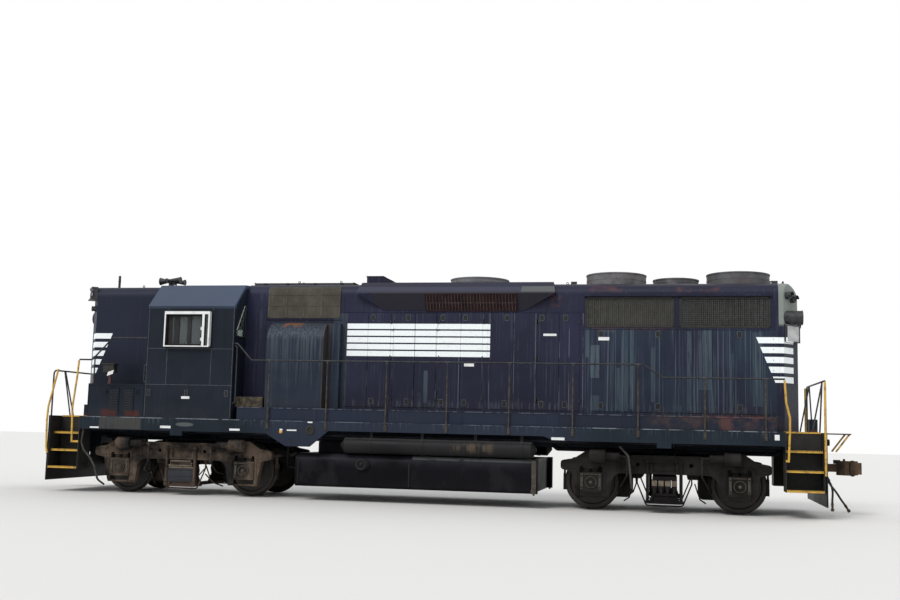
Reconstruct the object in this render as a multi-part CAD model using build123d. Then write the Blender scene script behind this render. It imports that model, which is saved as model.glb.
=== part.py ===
from build123d import *
import math
import os

# Four-axle diesel-electric road-switcher locomotive with a full-height short hood, a full-width cab
# and a long hood. Millimetres. +X runs along the locomotive to its front, the long-hood end, +Y to its
# left, +Z up. The origin is midway between the couplers and between the sides, at the bottom of the
# wheel flanges, so the wheel treads and the rail top are at rail_z.

# Running and swinging clearances
move_gap = 6.0          # between pieces that move past each other
pin_gap = 0.5           # radial, round a hinge pin
seat_gap = 0.3          # between a round piece and the flat it is fastened to

# Overall
rail_z = 28.0           # flange depth below the tread
coupled_length = 17120.0
coupler_reach = 790.0   # pulling face beyond the end plate
frame_length = coupled_length - 2 * coupler_reach
side_y = 1530.0         # outside of the side sills and the cab
end_x = frame_length / 2
measured_end_x = 7770.0


def along(*places):
    """Places along the locomotive, measured on a half frame of measured_end_x, kept in step with end_x."""
    moved = tuple(x * end_x / measured_end_x for x in places)
    return moved if len(moved) > 1 else moved[0]


# Underframe
deck_z = rail_z + 1535
deck_t = 40.0
sill_t = 30.0
sill_low_z = rail_z + 1273
sill_mid_z = rail_z + 1351
sill_rise_x = along(2630.0, 2835.0)
gusset_x = along(-2950.0, -1640.0)
gusset_foot_x = along(-2520.0, -2020.0)
gusset_z = rail_z + 1030
centre_sill_y = 380.0
centre_sill_t = 40.0
centre_sill_z = rail_z + 1130
crossbearer_t = 30.0
crossbearer_x = along(-6500.0, -3000.0, -1000.0, 1000.0, 3000.0, 6500.0)
body_bolster_w = 360.0
jack_pad = (260.0, 110.0, 90.0)     # length, width, drop below the side sill

# Ends, steps and couplers
end_plate_t = 25.0
end_plate_y = 1500.0
pilot_z = rail_z + 200
step_x = (end_x - 730, end_x - 50)
step_y = 1060.0
step_plate_t = 12.0
tread_t = 30.0
treads = (                          # top, front edge from the middle of the locomotive
    (rail_z + 1190, 1350.0),
    (rail_z + 830, 1440.0),
    (rail_z + 480, side_y),
)
receptacle_box = (150.0, 300.0, 260.0)      # jumper box on the end deck: along, across, tall
coupler_z = rail_z + 876
coupler_pivot_x = end_x - 290
shank_y = 65.0
shank_h = 150.0
head_h = 270.0
head_x = end_x + 410
head_y = 190.0
knuckle_h = 220.0
knuckle_pivot = (end_x + 622, -122.0)
knuckle_r = 52.0
knuckle_pin_r = 20.0
draft_x = end_x - 520               # inner end of the draft pocket
carrier_t = 30.0
coupler_pin_r = 40.0
pocket_y = 240.0
pocket_z = (rail_z + 690, rail_z + 1070)
drop_step_x = (end_x + 30, end_x + 590)
drop_step_y = 300.0
drop_step_t = 24.0
drop_step_pin_r = 8.0
drop_step_ear_t = 24.0

# Hoods
hood_y = 915.0
hood_t = 50.0
eave_r = 230.0
hood_end_r = 300.0
bevel = (290.0, 400.0)              # along X and across Y, at the hood ends
roof_z = rail_z + 4370
nose_roof_z = rail_z + 4330
cab_x = along(-5620.0, -3710.0)
nose_end_x = -(end_x - 330)
hood_end_x = end_x - 390
panel_t = 14.0                      # raised door panels on the hood sides
door_gap = 12.0
door_z = (deck_z + 320, rail_z + 3765)
door_pairs = (                      # hinge edge, meeting edge, hinge edge, hinged or fixed
    (*along(-1530.0, -1060.0, -590.0), False),
    (*along(-530.0, -75.0, 380.0), True),
    (*along(430.0, 870.0, 1310.0), False),
    (*along(1480.0, 1935.0, 2390.0), False),
    (*along(2440.0, 2840.0, 3240.0), False),
)
low_door_z = (deck_z + 320, rail_z + 3440)
low_door_x = (along(3560.0, 4820.0), along(4880.0, 6140.0), along(6200.0, 7000.0))
door_pin_r = 6.0
door_pin_out = 18.0                 # hinge axis outside the hood side or the cab wall
barrel_r = 12.0
barrel_h = 40.0
hinge_h = 120.0                     # the door's barrel
hinge_leaf_w = 40.0
skin_inset = 22.0
hood_hinge_z = (door_z[0] + 250, door_z[1] - 250)

# Openings with grilles in the hood sides
radiator_x = (along(3380.0, 5030.0), along(5190.0, 6820.0))
radiator_z = (rail_z + 3500, rail_z + 4090)
grille_bars = 15
grille_bar_w = 26.0
grille_back_t = 10.0
rail_flange = (60.0, 40.0)          # ledge over the radiator grilles: out, high
intake_x = along(-3240.0, -1670.0)
intake_z = (rail_z + 3655, rail_z + 4310)
intake_t = 16.0

# Dynamic-brake housing along the roof edges
blister_y = 1100.0
blister_edge_z = rail_z + 4147
blister_low_z = rail_z + 3800
blister_top_x = along(-1310.0, 2770.0)
blister_low_x = along(-670.0, 2110.0)
blister_top_z = rail_z + 4405
blister_top_y = 800.0

# Air duct and blower on the right side
duct_x = along(-3600.0, 6900.0)
duct_y = 1490.0
duct_z = rail_z + 1786
blower_x = along(-3080.0, -1870.0)
blower_y = 1330.0
blower_z = rail_z + 3550
blower_r = 400.0
filter_box_x = along(-3700.0, -3110.0)
filter_box_y = (930.0, 1360.0)
filter_box_z = rail_z + 2000

# Cab
cab_t = 60.0
eave_z = rail_z + 3857
wall_top_z = eave_z - 70            # the roof's eave beam sits on the side walls here
gutter_w = 25.0
gutter_t = 12.0
cab_roof_y = 1020.0
cab_roof_z = rail_z + 4330
cab_crown_z = rail_z + 4400
cab_roof_t = 50.0
cab_floor_z = rail_z + 2200
side_window_x = along(-5170.0, -4270.0)
side_window_z = (rail_z + 3030, rail_z + 3640)
window_frame_edge = (28.0, 32.0, 22.0, 58.0)    # rear, front, bottom and top edges of the box frame
window_frame_margin = 18.0          # from the opening to the frame's inside
window_frame_out = 90.0
window_post_w = 48.0
window_post_share = 0.86            # place of the post along the opening
glass_t = 12.0
end_window_y = (985.0, 1440.0)
end_window_z = (rail_z + 3230, rail_z + 3345, rail_z + 3880)
cab_door_y = (960.0, 1440.0)
cab_door_z = (cab_floor_z + 20, rail_z + 3130)
cab_door_sides = ((-1, -1), (1, 1))  # cab end and the side its door is on, by sign
cab_hinge_z = (cab_door_z[0] + 180, cab_door_z[1] - 180)
cab_step = ((cab_x[1], cab_x[1] + 310), (960.0, 1440.0), 320.0)    # x, y and height above the deck
seat_x = along(-4700.0)
seat_y = 1050.0
seat_w = 440.0
seat_h = 400.0
seat_t = 90.0
seat_back_h = 450.0
seat_post_r = 60.0
stand_x = (cab_x[1] - 540, cab_x[1] - 370, cab_x[1] - 140)
stand_y = (-1150.0, -500.0)
stand_h = (800.0, 1050.0)           # front and back of the control stand's desk
battery_x = (along(-6890.0), cab_x[0])
battery_z = rail_z + 2215

# Fans: name, centre x, diameter, top of the shroud
fan_table = (
    ("radiator_fan_1", along(3900.0), 1200.0, rail_z + 4630),
    ("radiator_fan_2", along(5090.0), 900.0, rail_z + 4530),
    ("radiator_fan_3", along(6305.0), 1220.0, rail_z + 4630),
    ("brake_fan", along(1073.0), 1210.0, rail_z + 4550),
)
fan_blades = 8
fan_pitch = 30.0                    # degrees
shroud_t = 25.0
fan_tip_gap = 15.0
fan_hub_r = 130.0
fan_blade_t = 8.0
fan_h = 70.0
fan_boss_r = 60.0

# Roof fittings
stack_x = along(-1340.0, -980.0, -770.0)
stack_y = 170.0
stack_z = (rail_z + 4630, rail_z + 4530)
hatch_x = along(-3690.0, -1500.0)
hatch_y = 600.0
hatch_z = rail_z + 4430
antenna_x = along(-7160.0)
antenna_r = 27.0
antenna_z = rail_z + 4687
horn_x = along(-5900.0)
horn_z = rail_z + 4560
horn_bells = ((-190.0, 300.0, 70.0), (0.0, -260.0, 80.0), (190.0, 230.0, 60.0))   # y, length, mouth radius
lug_x = along(3090.0, 6960.0)

# Headlights and engine
lamp_z = rail_z + 3700
lamp_y = 170.0
lamp_r = 140.0
lamp_bore_r = 120.0
lamp_length = (90.0, 150.0)         # headlight cans at the front and the rear
lens_depth = 70.0                   # from the rim of a can to its lens
lens_t = 20.0
corner_lamp_r = 135.0
corner_lamp_y = hood_y - 135
corner_lamp_x = (hood_end_x - 300, hood_end_x + 65)
corner_lamp_wall = 15.0
class_lamps = ((111.0, rail_z + 4118), (285.0, rail_z + 4062))      # place along the corner, height
class_lamp_r = 68.0
class_lamp_length = 70.0
number_box_along = (20.0, 472.0)
front_number_box = ((0.0, 3240), (52.0, 3240), (52.0, 3555), (0.0, 3555))     # out, above the rail
rear_number_box = ((0.0, 4050), (150.0, 4050), (150.0, 4072), (100.0, 4130), (92.0, 4220), (130.0, 4300),
                   (130.0, 4320), (0.0, 4320))
engine_x = along(-1500.0, 2700.0)
engine_y = 550.0
engine_z = rail_z + 3300
generator_x = along(-3000.0)
generator_y = 600.0
generator_z = rail_z + 2900

# Fuel tank and air reservoirs
tank_y = 1350.0
tank_z = (rail_z + 250, rail_z + 900)
tank_top_r = 150.0
tank_low_r = 60.0
tank_saddle_y = 520.0
filler_x = along(-930.0)
filler_z = rail_z + 710
filler_r = 110.0
reservoir_left_x = along(-1420.0)
reservoir_r = 160.0
reservoir_y = 1340.0
reservoir_z = rail_z + 1085
hanger_x = along(-790.0, 240.0, 1300.0, 2200.0)
hanger_w = 60.0

# Handrails and grabs
rail_r = 17.0
post_r = 15.0
post_first_x = along(-2916.0)
post_pitch = along(1219.0)
post_count = 8
post_last_x = along(6700.0)
rail_start_x = along(-3300.0)       # where the handrail comes down to its full run
post_low_z = rail_z + 1375
handrail_z = rail_z + 2731
low_handrail_z = rail_z + 2492
handrail_drop_x = along(4500.0, 4850.0)
nose_rail_z = rail_z + 3170
nose_rail_x = along(-6420.0, -6860.0, -7140.0)
nose_rail_low_z = rail_z + 2710
nose_post_x = along(-6800.0)
nose_post_z = rail_z + 2770
grab_r = 20.0
grab_foot_h = 40.0
front_grab = (                      # beyond the end plate, above the rail
    (-735.0, 2470.0), (-712.0, 2066.0), (-650.0, 1790.0), (-651.0, 1577.0), (-680.0, 990.0))
rear_grab = ((-643.0, 2690.0), (-624.0, 2372.0), (-557.0, 1722.0), (-587.0, 990.0))
front_corner_post = ((-36.0, 2460.0), (-40.0, 760.0))
rear_corner_post = (
    (-181.0, 2500.0), (-80.0, 2046.0), (-5.0, 1730.0), (12.0, 1432.0), (-11.0, 882.0), (-40.0, 760.0))
grab_bend = 120.0

# Rails across the end decks
end_rail_x = end_x - rail_r
end_rail_y = 1440.0
end_rail_z = rail_z + 2480
end_post_y = (1000.0, 580.0)        # top and foot of the slanted posts
end_brace = (1030.0, 190.0)         # across, and the foot's distance in from the rail

# Trucks
truck_base = 2743.0
truck_arm_x = truck_base / 2 + 578.5
truck_end_gap = 213.0               # truck frame to the step well
truck_x = step_x[0] - truck_end_gap - truck_arm_x
frame_y = (1060.0, 1200.0)
truck_frame_z = rail_z + 1040
truck_low_z = rail_z + 690
pedestal_top_z = rail_z + 1095
pedestal_low_z = rail_z + 235
pedestal_half = 218.0               # half width of the opening for the journal box
pedestal_gap = 4.0
pedestal_leg = (131.0, 58.0)        # foot of the inner and of the outer leg
pocket_top_z = rail_z + 810
pocket_corner_r = 45.0
truck_arm_z = (rail_z + 740, rail_z + 905)
arch_x = truck_base / 2 - 416       # corner of the arch between pedestal and spring group
arch_r = 190.0
shoulder_r = 90.0
arm_tip_r = 60.0
tie_bar_h = 35.0
transom_x = (430.0, 620.0)
transom_z = (rail_z + 600, rail_z + 950)
web_recess_x = (395.0, truck_base / 2 - 480)
web_recess_z = (truck_low_z + 35, truck_frame_z - 35)
web_recess_depth = 12.0
web_corner_r = 40.0
light_holes = ((495.0, rail_z + 865, 38.0), (700.0, rail_z + 885, 18.0))     # from the centre, height, radius
centre_recess = (212.0, rail_z + 735, rail_z + 905, 45.0)       # half length, low, high, depth
bolster_half = 220.0
bolster_y = 980.0
bolster_top_z = rail_z + 990
bolster_end_z = (rail_z + 585, rail_z + 652)
centre_plate_r = 190.0
plank_z = (rail_z + 145, rail_z + 335)
plank_half = (300.0, 222.0)         # half length of the spring seat at its foot and its top
plank_recess = 30.0
plank_rim = 34.0
cross_plank = (120.0, 50.0)         # half width and height of the bar between the spring seats
leaf_count = 5
leaf_step = 0.06                    # each leaf is shorter than the next by this share
leaf_y = (800.0, 1235.0)
leaf_column_w = 104.0
leaf_pitch = 122.0
leaf_set_back = 20.0
swing_hanger_x = 310.0
swing_hanger_w = 56.0
hanger_boss_r = 42.0
hanger_z = (rail_z + 190, rail_z + 928)
hanger_bar_r = 12.0
safety_loop = ((-500.0, 700.0), (-505.0, 520.0), (-335.0, 108.0))       # half of the loop under the springs
safety_loop_r = 14.0
safety_loop_y = 1130.0
brake_cylinder_r = 125.0
brake_cylinder_x = (truck_base / 2 - 281, truck_base / 2 + 20)
brake_cylinder_z = rail_z + 1005
brake_cylinder_rim = (22.0, 8.0)    # width and height of the flange at the drum's mouth
brake_nose = (265.0, 72.0)          # length and radius of the cylinder's narrow end
shoe_t = 50.0
shoe_y = (660.0, 770.0)

# Fuel tank and reservoir ends, which keep clear of the trucks
tank_x = (-(truck_x - truck_arm_x - 567), truck_x - truck_arm_x - 527)
sight_post_x = (tank_x[1], tank_x[1] + 100)
reservoir_x = (reservoir_left_x, sight_post_x[1] - 20)

# Wheels, axles and journals
wheel_r = 508.0
flange_r = wheel_r + rail_z
wheel_back_y = 678.5
rim_w = 140.0
flange_w = 30.0
rim_t = 70.0
web_t = 28.0
wheel_hub_r = 140.0
axle_r = 100.0
journal_r = 80.0
journal_end_y = 1180.0
journal_box_y = (1010.0, 1230.0)
journal_box_z = (rail_z + 325, rail_z + 690)
journal_box_corner_r = 40.0
journal_cap = ((118.0, 16.0), (92.0, 34.0), (52.0, 50.0))      # radius and stand-off of each step
spring_r = 78.0
spring_groove = 20.0
spring_turns = 3
spring_y = 1115.0
spring_cap = (150.0, 70.0, 45.0)    # half length, half width and height of the bar over the springs
motor_x = (truck_base / 2 - 731.5, truck_base / 2 - 181.5)      # from the truck centre towards the axle
motor_y = 530.0
motor_z = (rail_z + 210, rail_z + 800)

# Air brake hoses at the front end: points of each route, and the bore of the coupling under it
hose_r = 20.0
hose_1_route = ((end_x + 155, -430.0, 660.0), (end_x + 186, -430.0, 605.0), (end_x + 206, -432.0, 543.0),
                (end_x + 214, -436.0, 478.0), (end_x + 213, -441.0, 412.0), (end_x + 208, -444.0, 345.0),
                (end_x + 204, -442.0, 278.0), (end_x + 206, -436.0, 212.0))
hose_2_route = ((end_x + 155, -300.0, 660.0), (end_x + 186, -300.0, 605.0), (end_x + 222, -297.0, 553.0),
                (end_x + 262, -291.0, 503.0), (end_x + 301, -282.0, 452.0), (end_x + 337, -272.0, 398.0),
                (end_x + 371, -262.0, 342.0), (end_x + 407, -252.0, 289.0), (end_x + 446, -243.0, 238.0),
                (end_x + 482, -236.0, 182.0))
valve_r = 30.0
nozzle_length = 90.0
coupling_length = 110.0
coupling_r = 34.0

parts = {}


def block(x, y, z):
    """A box between the low and high values of x, y and z."""
    centre = Pos((x[0] + x[1]) / 2, (y[0] + y[1]) / 2, (z[0] + z[1]) / 2)
    return centre * Box(abs(x[1] - x[0]), abs(y[1] - y[0]), abs(z[1] - z[0]))


def side_profile(points, y):
    """An outline of (x, z) points, carried across from y[0] to y[1]."""
    wire = Polyline([(px, y[0], pz) for px, pz in points], close=True)
    return extrude(make_face(wire), amount=y[1] - y[0], dir=(0, 1, 0))


def cross_profile(points, x):
    """An outline of (y, z) points, carried along from x[0] to x[1]."""
    wire = Polyline([(x[0], py, pz) for py, pz in points], close=True)
    return extrude(make_face(wire), amount=x[1] - x[0], dir=(1, 0, 0))


def plan_profile(points, z):
    """An outline of (x, y) points, carried up from z[0] to z[1]."""
    wire = Polyline([(px, py, z[0]) for px, py in points], close=True)
    return extrude(make_face(wire), amount=z[1] - z[0], dir=(0, 0, 1))


def rod(start, end, radius):
    """A round bar from start to end."""
    a, b = Vector(*start), Vector(*end)
    plane = Plane(origin=a, z_dir=b - a)
    return extrude(plane * Circle(radius), amount=(b - a).length)


def bent_bar(points, radius, bend):
    """A round bar along straight runs with bends of one radius between them."""
    path = FilletPolyline(*points, radius=bend)
    return sweep(Plane(origin=path @ 0, z_dir=path % 0) * Circle(radius), path=path)


def fuse(*pieces):
    """Pieces joined into one body."""
    return Part() + [piece for group in pieces for piece in (group if isinstance(group, list) else [group])]


def both_sides(shape):
    """A right-hand piece and its mirror image on the left."""
    return [shape, mirror(shape, about=Plane.XZ)]


def both_ends(shape):
    """A front piece and its mirror image at the rear."""
    return [shape, mirror(shape, about=Plane.YZ)]


def in_truck(shape, cx):
    """A piece made about the truck centre, put at the truck at cx."""
    return Pos(cx, 0, 0) * shape


def make_underframe():
    """Deck, side sills with the gusset, box centre sill, cross bearers, body bolsters and jacking pads."""
    step_cuts = [block((s * step_x[0], s * (end_x + 1)), (t * step_y, t * (side_y + 1)),
                       (deck_z - deck_t - 1, deck_z + 1)) for s in (-1, 1) for t in (-1, 1)]
    deck = block((-end_x + end_plate_t, end_x - end_plate_t), (-side_y, side_y), (deck_z - deck_t, deck_z))
    for cut in step_cuts:
        deck -= cut
    low_z = deck_z - deck_t
    outline = ((-step_x[0], sill_low_z), (gusset_x[0], sill_low_z), (gusset_foot_x[0], gusset_z),
               (gusset_foot_x[1], gusset_z), (gusset_x[1], sill_mid_z), (sill_rise_x[0], sill_mid_z),
               (sill_rise_x[1], sill_low_z), (step_x[0], sill_low_z), (step_x[0], low_z), (-step_x[0], low_z))
    sills = both_sides(side_profile(outline, (-side_y, -side_y + sill_t)))
    sill_x = (-end_x + end_plate_t, end_x - end_plate_t)
    beam = block(sill_x, (-centre_sill_y, centre_sill_y), (centre_sill_z, low_z))
    beam -= block((sill_x[0] - 1, sill_x[1] + 1), (-centre_sill_y + centre_sill_t, centre_sill_y - centre_sill_t),
                  (centre_sill_z + centre_sill_t, low_z + 1))
    bearers = [block((x - crossbearer_t / 2, x + crossbearer_t / 2), (t * centre_sill_y, t * (side_y - sill_t)),
                     (sill_mid_z, low_z)) for x in crossbearer_x for t in (-1, 1)]
    arm = ((-side_y + sill_t, low_z), (-side_y + sill_t, sill_low_z), (-centre_sill_y, centre_sill_z),
           (-centre_sill_y, low_z))
    bolsters, plates = [], []
    for cx in (-truck_x, truck_x):
        bolsters += both_sides(cross_profile(arm, (cx - body_bolster_w / 2, cx + body_bolster_w / 2)))
        plates.append(rod((cx, 0, bolster_top_z - 30 + seat_gap), (cx, 0, centre_sill_z), centre_plate_r))
        plates += both_sides(block((cx - jack_pad[0] / 2, cx + jack_pad[0] / 2), (-side_y, -side_y + jack_pad[1]),
                                   (sill_low_z - jack_pad[2], sill_low_z)))
    pocket_x = (draft_x, end_x - end_plate_t)
    shank_z = (coupler_z - shank_h / 2, coupler_z + shank_h / 2)
    pocket = block(pocket_x, (-pocket_y, pocket_y), (shank_z[0] - carrier_t, centre_sill_z))
    pocket -= block((draft_x - 1, end_x), (-pocket_y + carrier_t, pocket_y - carrier_t),
                    (shank_z[0] - seat_gap, shank_z[1] + move_gap))
    pocket += rod((coupler_pivot_x, 0, shank_z[0] - carrier_t), (coupler_pivot_x, 0, centre_sill_z),
                  coupler_pin_r - pin_gap)
    return fuse(deck, sills, beam, bearers, bolsters, plates, both_ends(pocket))


def make_end_plates():
    """Plate across each end, down to the pilot, with the coupler opening and the hose valves."""
    plate = block((end_x - end_plate_t, end_x), (-end_plate_y, end_plate_y), (pilot_z, deck_z))
    plate -= block((end_x - end_plate_t - 1, end_x + 1), (-pocket_y, pocket_y), pocket_z)
    ear_x, ear_z = drop_step_x[0], deck_z - drop_step_t / 2
    for s in (-1, 1):
        ear_y = (s * (drop_step_y + seat_gap), s * (drop_step_y + seat_gap + drop_step_ear_t))
        plate += block((end_x, ear_x + 14), ear_y, (deck_z - drop_step_t, deck_z))
        plate += rod((ear_x, s * (drop_step_y - 18), ear_z), (ear_x, ear_y[1], ear_z),
                     drop_step_pin_r - pin_gap)
    along_x, across, tall = receptacle_box
    box = block((end_x - along_x, end_x), (-across / 2, across / 2), (deck_z, deck_z + tall))
    plate += fillet(box.edges().filter_by(Axis.Z), 20)
    rear = mirror(plate, about=Plane.YZ)
    for route in (hose_1_route, hose_2_route):
        start, after = Vector(*route[0]), Vector(*route[1])
        nozzle = start - (after - start).normalized() * nozzle_length
        plate += rod((end_x, nozzle.Y, nozzle.Z), tuple(nozzle), valve_r)
        plate += Pos(*nozzle) * Sphere(valve_r + 4)
        plate += rod(tuple(nozzle), tuple(start), valve_r)
    return [plate, rear]


def make_stepwells():
    """Four sets of side steps: two stringers, a back sheet and three treads each."""
    low = treads[-1][0] - tread_t
    shapes = []
    stringers = [block(x, (-side_y, -step_y), (low, deck_z)) for x in
                 ((step_x[0], step_x[0] + step_plate_t), (step_x[1] - step_plate_t, step_x[1]))]
    back = block(step_x, (-step_y - step_plate_t, -step_y), (low, deck_z))
    steps = [block(step_x, (-front_y, -step_y), (z - tread_t, z)) for z, front_y in treads]
    corner = fuse(stringers, back, steps)
    for end in both_ends(corner):
        shapes += both_sides(end)
    return shapes


def make_coupler():
    """Coupler body: shank on its pivot, flared head with guard arm, ears and the knuckle pin."""
    px, py = knuckle_pivot
    low, high = coupler_z - head_h / 2, coupler_z + head_h / 2
    shank = block((coupler_pivot_x - 90, head_x), (-shank_y, shank_y),
                  (coupler_z - shank_h / 2, coupler_z + shank_h / 2))
    tip_x = coupled_length / 2 - 30
    outline = ((head_x - 60, -shank_y), (head_x + 60, -head_y), (px - knuckle_r - 20, -head_y),
               (px - knuckle_r - 20, -40), (head_x + 230, 60), (tip_x, 120), (tip_x, head_y),
               (head_x + 200, head_y), (head_x + 60, head_y - 20), (head_x - 60, shank_y))
    head = plan_profile(outline, (low, high))
    ear_t = (head_h - knuckle_h) / 2 - move_gap
    ears = []
    for z in (low, high - ear_t):
        ears.append(Pos(px, py, z + ear_t / 2) * Cylinder(knuckle_r, ear_t))
        ears.append(block((px - knuckle_r - 40, px), (py - knuckle_r, py + knuckle_r), (z, z + ear_t)))
    pin = Pos(px, py, coupler_z) * Cylinder(knuckle_pin_r - pin_gap, head_h)
    body = fuse(shank, head, ears, pin)
    return body - Pos(coupler_pivot_x, 0, coupler_z) * Cylinder(coupler_pin_r, shank_h + 2)


def make_knuckle():
    """Knuckle: hub on the pin and the hooked nose whose face is the pulling face."""
    px, py = knuckle_pivot
    z = (coupler_z - knuckle_h / 2, coupler_z + knuckle_h / 2)
    face_x = coupled_length / 2
    hub = Pos(px, py, coupler_z) * Cylinder(knuckle_r, knuckle_h)
    nose = plan_profile(((px - 10, py - knuckle_r), (face_x - 60, py - 60), (face_x, py - 10), (face_x, py + 100),
                         (face_x - 25, py + 135), (face_x - 80, py + 125), (face_x - 95, py + 70),
                         (px + 20, py + knuckle_r - 4)), z)
    return fuse(hub, nose) - Pos(px, py, coupler_z) * Cylinder(knuckle_pin_r, knuckle_h + 2)


def make_drop_step():
    """End platform plate over the coupler, with the stay under it."""
    x0, x1 = drop_step_x
    plate = block((x0 + move_gap, x1), (-drop_step_y, drop_step_y), (deck_z - drop_step_t, deck_z))
    stay_y = (drop_step_y - 30, drop_step_y - 10)
    stay = side_profile(((x1 - 60, deck_z - drop_step_t), (x1 - 20, deck_z - drop_step_t),
                         (x0 + 290, deck_z - 360), (x0 + 260, deck_z - 345)), stay_y)
    axis_z = deck_z - drop_step_t / 2
    lug = rod((x0, -drop_step_y, axis_z), (x0, drop_step_y, axis_z), drop_step_t / 2)
    tongue = block((x0, x0 + move_gap + 2), (-drop_step_y, drop_step_y), (deck_z - drop_step_t, deck_z))
    step = fuse(plate, both_sides(stay), lug, tongue)
    for s in (-1, 1):
        pin_y = (s * (drop_step_y - 24), s * (drop_step_y + 1))
        step -= rod((x0, pin_y[0], axis_z), (x0, pin_y[1], axis_z), drop_step_pin_r)
    return step


def hood_block(x, side, top, eave, end, end_r):
    """Hood body with rounded eaves, corner bevels and a rounded roof edge at the end given by its sign."""
    z0 = deck_z
    body = block(x, (-side, side), (z0, top))
    body = fillet(body.edges().filter_by(Axis.X).group_by(Axis.Z)[-1], eave)
    bx, by = bevel
    if end > 0:
        xe, xb, xi = x[1], x[1] - bx, x[0] - 1
    else:
        xe, xb, xi = x[0], x[0] + bx, x[1] + 1
    plan = plan_profile(((xi, -side), (xb, -side), (xe, -side + by), (xe, side - by), (xb, side), (xi, side)),
                        (z0, top))
    slab = block((min(xi, xe), max(xi, xe)), (-side, side), (z0 - 1, top))
    edge = slab.edges().filter_by(Axis.Y).group_by(Axis.Z)[-1].sort_by(Axis.X)[-1 if end > 0 else 0]
    return body & plan & fillet(edge, end_r)


def make_long_hood():
    """Hollow long hood with its raised door panels and the openings for doors, grilles and fans."""
    x = (cab_x[1], hood_end_x)
    outer = hood_block(x, hood_y, roof_z, eave_r, 1, hood_end_r)
    inner = hood_block((x[0] + hood_t, x[1] - hood_t), hood_y - hood_t, roof_z - hood_t, eave_r - hood_t, 1,
                       hood_end_r - hood_t)
    hood = outer - inner
    for s in (-1, 1):
        wall = (s * (hood_y - hood_t - 1), s * (hood_y + 1))
        panel = (s * hood_y, s * (hood_y + panel_t))
        for gx in radiator_x:
            hood -= block(gx, wall, radiator_z)
        for a, m, b, hinged in door_pairs:
            if hinged:
                hood -= block((a, b), wall, door_z)
                for hz in hood_hinge_z:
                    axis_y = s * (hood_y + door_pin_out)
                    hood = fuse(hood, frame_hinge((a, axis_y), (0, s), (-1, 0), hz),
                                frame_hinge((b, axis_y), (0, s), (1, 0), hz))
            else:
                hood += block((a, m - door_gap / 2), panel, door_z)
                hood += block((m + door_gap / 2, b), panel, door_z)
        for a, b in low_door_x:
            hood += block((a, b), panel, low_door_z)
        ledge = (s * hood_y, s * (hood_y + rail_flange[0]))
        hood += block((radiator_x[0][0] - 60, radiator_x[1][1] + 60), ledge,
                      (radiator_z[1] + 10, radiator_z[1] + 10 + rail_flange[1]))
    for _, fx, dia, _ in fan_table:
        hood -= Pos(fx, 0, roof_z) * Cylinder(dia / 2 - shroud_t, hood_t * 3)
    return hood


def frame_hinge(axis, out, away, z):
    """Pin, its two end barrels and their leaf, on the frame beside a door.

    axis is the pin's (x, y), out the unit (x, y) outwards, away the unit (x, y) away from the door.
    """
    pieces = [Pos(*axis, z) * Cylinder(door_pin_r - pin_gap, hinge_h + 2 * barrel_h)]
    for s in (-1, 1):
        bz = z + s * (hinge_h / 2 + barrel_h / 2 + seat_gap)
        pieces.append(Pos(*axis, bz) * Cylinder(barrel_r, barrel_h))
        near = [axis[i] - out[i] * door_pin_out for i in (0, 1)]
        far = [axis[i] + away[i] * hinge_leaf_w for i in (0, 1)]
        pieces.append(block((near[0], far[0]), (near[1], far[1]), (bz - barrel_h / 2, bz + barrel_h / 2)))
    return pieces


def door_hinge(axis, out, toward, z):
    """Barrel on the pin and its leaf, on the door."""
    barrel = Pos(*axis, z) * Cylinder(barrel_r, hinge_h)
    near = [axis[i] - out[i] * (barrel_r - 2) + toward[i] * 2 for i in (0, 1)]
    far = [axis[i] + toward[i] * hinge_leaf_w for i in (0, 1)]
    leaf = block((near[0], far[0]), (near[1], far[1]), (z - hinge_h / 2, z + hinge_h / 2))
    web_near = [axis[i] - out[i] * (door_pin_out + 2) + toward[i] * (hinge_leaf_w - 14) for i in (0, 1)]
    web = block((web_near[0], far[0]), (web_near[1], far[1]), (z - hinge_h / 2, z + hinge_h / 2))
    return (barrel + leaf + web) - Pos(*axis, z) * Cylinder(door_pin_r, hinge_h + 2)


def make_hood_door(pair, leaf, side):
    """One hinged engine-room door with its two hinge barrels."""
    a, m, b, hinged = door_pairs[pair]
    hinge_x, free_x = (a, m - door_gap / 2) if leaf == 0 else (b, m + door_gap / 2)
    d = 1 if leaf == 0 else -1
    z = (door_z[0] + move_gap, door_z[1] - move_gap)
    panel = block((hinge_x + d * move_gap, free_x), (side * (hood_y - hood_t), side * hood_y), z)
    skin = block((hinge_x + d * skin_inset, free_x), (side * hood_y, side * (hood_y + panel_t)), z)
    axis = (hinge_x, side * (hood_y + door_pin_out))
    hinges = [door_hinge(axis, (0, side), (d, 0), hz) for hz in hood_hinge_z]
    return fuse(panel, skin, hinges)


def make_grille(x, side):
    """Framed grille of upright bars on a backing sheet, set in the hood side."""
    out = side * (hood_y - 10)
    back = side * (hood_y - hood_t)
    sheet = block(x, (back, back + side * grille_back_t), radiator_z)
    pieces = [sheet]
    pitch = (x[1] - x[0] - grille_bar_w) / (grille_bars - 1)
    for i in range(grille_bars):
        bx = x[0] + i * pitch
        pieces.append(block((bx, bx + grille_bar_w), (back, out), radiator_z))
    for z in (radiator_z[0], radiator_z[1] - grille_bar_w):
        pieces.append(block(x, (back, out), (z, z + grille_bar_w)))
    return fuse(*pieces)


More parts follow.
